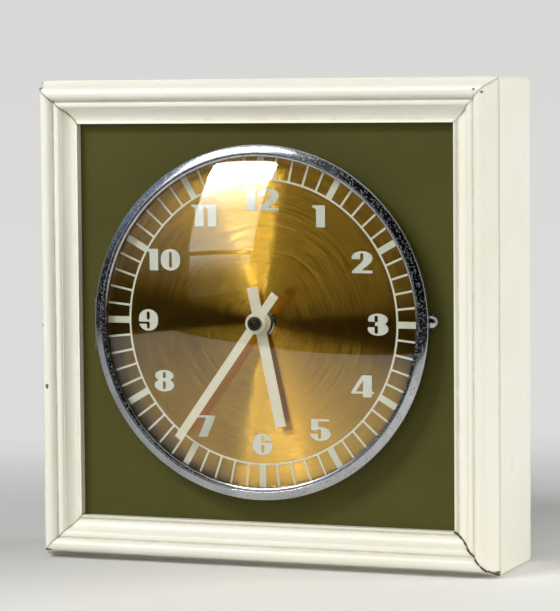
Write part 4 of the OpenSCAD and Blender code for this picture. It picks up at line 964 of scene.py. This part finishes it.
AIM = Vector((0, 0, 0.15))
CAMERA_AT = (0.6592, -1.7408, 0.2903)
CAMERA_RIGHT = (0.93487563, 0.35488111, -0.00818257)
CAMERA_UP = (-0.01737314, 0.06876582, 0.99748155)
CAMERA_BACK = (0.35455004, -0.93237903, 0.07045289)
FLOOR_RIM = [(-1.06, 1.1, 0), (-1.07, -0.98, 0), (-0.3, -0.82, 0), (0.55, -0.45, 0), (1.0, 0.1, 0), (1.0, 1.1, 0)]
UPPER_CARD = [(-1.71, -1.5, 2.2), (-0.58, -1.5, 1.95), (-0.53, -1.5, 0.72), (-1.44, -1.5, 0.76)]
LOWER_CARD = [(-1.4, -1.5, 0.71), (-0.54, -1.5, 0.68), (-0.52, -1.5, 0.35), (-1.32, -1.5, 0.26)]
EDGE_CARDS = [(-1.66, 1.85), (-0.6, 1.6)]
EDGE_W, EDGE_H, EDGE_Y = 0.06, 0.3, -1.49


def flat_card(name, corners, material):
    """One flat face from its corners in metres."""
    mesh = bpy.data.meshes.new(name)
    mesh.from_pydata([tuple(c) for c in corners], [], [tuple(range(len(corners)))])
    mesh.materials.append(material)
    return add_object(name, mesh)


def lamp(name, at, size, power, colour):
    """A rectangular lamp that faces the middle of the clock and shows in no reflection."""
    light = bpy.data.lights.new(name, "AREA")
    light.shape, light.size, light.size_y = "RECTANGLE", *size
    light.energy, light.color = power, colour
    obj = add_object(name, light)
    obj.location = at
    obj.rotation_euler = (AIM - Vector(at)).to_track_quat("-Z", "Y").to_euler()
    obj.visible_glossy = obj.visible_transmission = False


# The softbox's light by height: LOW_LIGHT at the lower SOFTBOX_Z, then (share, light), and 1 at the upper
SOFTBOX_Z = (0.25, 2.2)
LOW_LIGHT = 0.01
RAMP = [(0.1, 0.006), (0.15, 0.025), (0.205, 0.08), (0.23, 0.13)]
RAMP += [(0.33, 0.13), (0.49, 0.15), (0.62, 0.35), (0.74, 0.85)]


def softbox_material(level):
    """Bright card whose light fades from its top to its lower edge."""
    made = bpy.data.materials.new("softbox")
    made.use_nodes = True
    tree = made.node_tree
    tree.nodes.clear()
    height = split(tree, place_of(tree, 1))[2]
    ramp = node(tree, "ValToRGB", {0: between(tree, height, *SOFTBOX_Z)})
    stops = ramp.color_ramp.elements
    stops[0].color = (LOW_LIGHT, LOW_LIGHT, LOW_LIGHT, 1)
    for share, v in RAMP:
        stops.new(share).color = (v, v, v, 1)
    light = node(tree, "Emission", {"Color": ramp.outputs[0], "Strength": level})
    node(tree, "OutputMaterial", {0: light.outputs[0]})
    return made


def floor_material(stage):
    """Pale floor, darker behind the clock with painted shade, that fades out into the backdrop at its rim."""
    made, tree, shader = finish("floor", Roughness=0.8)
    part = split(tree, place_of(tree, 1))
    depth = minus(tree, part[1], times(tree, part[0], 1.6))
    # Painted shade: the floor darkens towards the back and the left, behind the clock.
    colour = mix(tree, between(tree, depth, -0.12, 0.28), stage.floor, stage.floor_far_shaded)
    wire(shader, Base_Color=colour)
    far = minus(tree, part[1], times(tree, part[0], 0.38))
    fade = between(tree, far, 0.25, 0.75)
    clear = node(tree, "BsdfTransparent")
    both = mix_shader(tree, fade, shader, clear)
    tree.links.new(both.outputs[0], tree.nodes["Material Output"].inputs["Surface"])
    return made


def world_light(stage):
    """Backdrop by height for the camera, with painted shade low down and a little darker higher up; mirrors see it
    behind the clock, a wall, a ceiling and dark elsewhere.
    """
    world = bpy.data.worlds.new("studio")
    bpy.context.scene.world = world
    world.use_nodes = True
    tree = world.node_tree
    tree.nodes.clear()
    way = node(tree, "TexCoord").outputs["Generated"]
    part = split(tree, way)
    # Painted shade: the backdrop darkens low down, next to the floor.
    backdrop = mix(tree, between(tree, part[2], -0.152, -0.118), stage.backdrop_low_shaded, stage.backdrop)
    backdrop = mix(tree, between(tree, part[2], -0.06, 0.04), backdrop, "d7d7d5")
    seen = node(tree, "Background", {"Color": backdrop, "Strength": 1.0})
    aside = between(tree, maths(tree, "ABSOLUTE", part[0]), 0.58, 0.42)
    behind = times(tree, between(tree, part[1], -0.1, 0.1), aside)
    above = times(tree, between(tree, part[2], 0.6, 0.75), between(tree, part[1], -0.62, -0.45))
    mirror = mix(tree, behind, "070708", backdrop)
    wall = times(tree, between(tree, part[0], -0.5, -0.75), between(tree, part[2], 0.08, 0.35))
    mirror = mix(tree, wall, mirror, "8491a8")
    mirror = mix(tree, above, mirror, "dce3ee")
    mirrored = node(tree, "Background", {"Color": mirror, "Strength": 1.0})
    soft = node(tree, "Background", {"Color": (*ink("cac9c6"), 1), "Strength": 0.36})
    path = node(tree, "LightPath").outputs
    unseen = mix_shader(tree, path["Is Diffuse Ray"], mirrored, soft)
    both = mix_shader(tree, path["Is Camera Ray"], unseen, seen)
    node(tree, "OutputWorld", {0: both.outputs[0]})


class CLOCK_OT_stage(bpy.types.Operator):
    """Set up the floor, softbox, lamps, backdrop and camera"""

    bl_idname = "clock.stage"
    bl_label = "Stage"

    def execute(self, context):
        stage = context.scene.clock_stage
        floor = flat_card("floor", FLOOR_RIM, floor_material(stage))
        made = softbox_material(stage.key)
        glare = softbox_material(stage.rays)
        cards = [flat_card("softbox.upper", UPPER_CARD, made), flat_card("softbox.lower", LOWER_CARD, made)]
        for k, (x, z) in enumerate(EDGE_CARDS):
            turns = [(x, z), (x + EDGE_W, z), (x + EDGE_W, z + EDGE_H), (x, z + EDGE_H)]
            cards.append(flat_card(f"softbox.edge.{k}", [(u, EDGE_Y, v) for u, v in turns], glare))
        for card in cards:
            card.visible_camera = False
        lamp("lamp.right", (1.6, 0.15, 0.8), (1.0, 1.2), stage.fill, (1.0, 0.985, 0.96))
        lamp("lamp.left", (-0.85, -0.85, 0.7), (0.5, 0.7), stage.side, (1.0, 0.99, 0.96))
        lamp("lamp.front", (0.55, -2.1, 0.8), (1.4, 1.2), stage.front, (1.0, 0.99, 0.97))
        lamp("lamp.top", (0.1, -0.5, 1.7), (1.2, 0.8), stage.top, (1.0, 0.99, 0.97))
        world_light(stage)
        view = bpy.data.cameras.new("camera")
        view.lens, view.sensor_width, view.clip_end = stage.lens, 36, 100
        camera = add_object("camera", view)
        turn = Matrix((CAMERA_RIGHT, CAMERA_UP, CAMERA_BACK)).transposed()
        camera.matrix_world = Matrix.Translation(CAMERA_AT) @ turn.to_4x4()
        context.scene.camera = camera
        context.scene.view_settings.view_transform = "Standard"
        return {"FINISHED"}


class CLOCK_PT_panel(bpy.types.Panel):
    """Lists the pieces of the clock and their settings"""

    bl_label = "Framed clock"
    bl_space_type = "VIEW_3D"
    bl_region_type = "UI"
    bl_category = "Clock"

    def draw(self, context):
        for name in STEPS:
            self.layout.operator(f"clock.{name}")
        for key, group_type in SETTINGS.items():
            box = self.layout.box()
            for field in group_type.__annotations__:
                box.prop(getattr(context.scene, key), field)


STEPS = ["case", "mouldings", "panel", "dial", "bezel", "glass", "hands", "movement", "battery", "stage"]
SETTINGS = {
    "clock_paint": ClockPaint,
    "clock_dial": ClockDial,
    "clock_bezel": ClockBezel,
    "clock_hands": ClockHands,
    "clock_stage": ClockStage,
}
CLASSES = [*SETTINGS.values(), CLOCK_OT_case, CLOCK_OT_mouldings, CLOCK_OT_panel, CLOCK_OT_dial, CLOCK_OT_bezel]
CLASSES += [CLOCK_OT_glass, CLOCK_OT_hands, CLOCK_OT_movement, CLOCK_OT_battery, CLOCK_OT_stage, CLOCK_PT_panel]


def register():
    for item in CLASSES:
        bpy.utils.register_class(item)
    for key, group_type in SETTINGS.items():
        setattr(bpy.types.Scene, key, bpy.props.PointerProperty(type=group_type))


def unregister():
    for key in SETTINGS:
        delattr(bpy.types.Scene, key)
    for item in reversed(CLASSES):
        bpy.utils.unregister_class(item)


def main():
    """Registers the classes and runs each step."""
    register()
    for name in STEPS:
        getattr(bpy.ops.clock, name)()


if __name__ == "__main__":
    main()
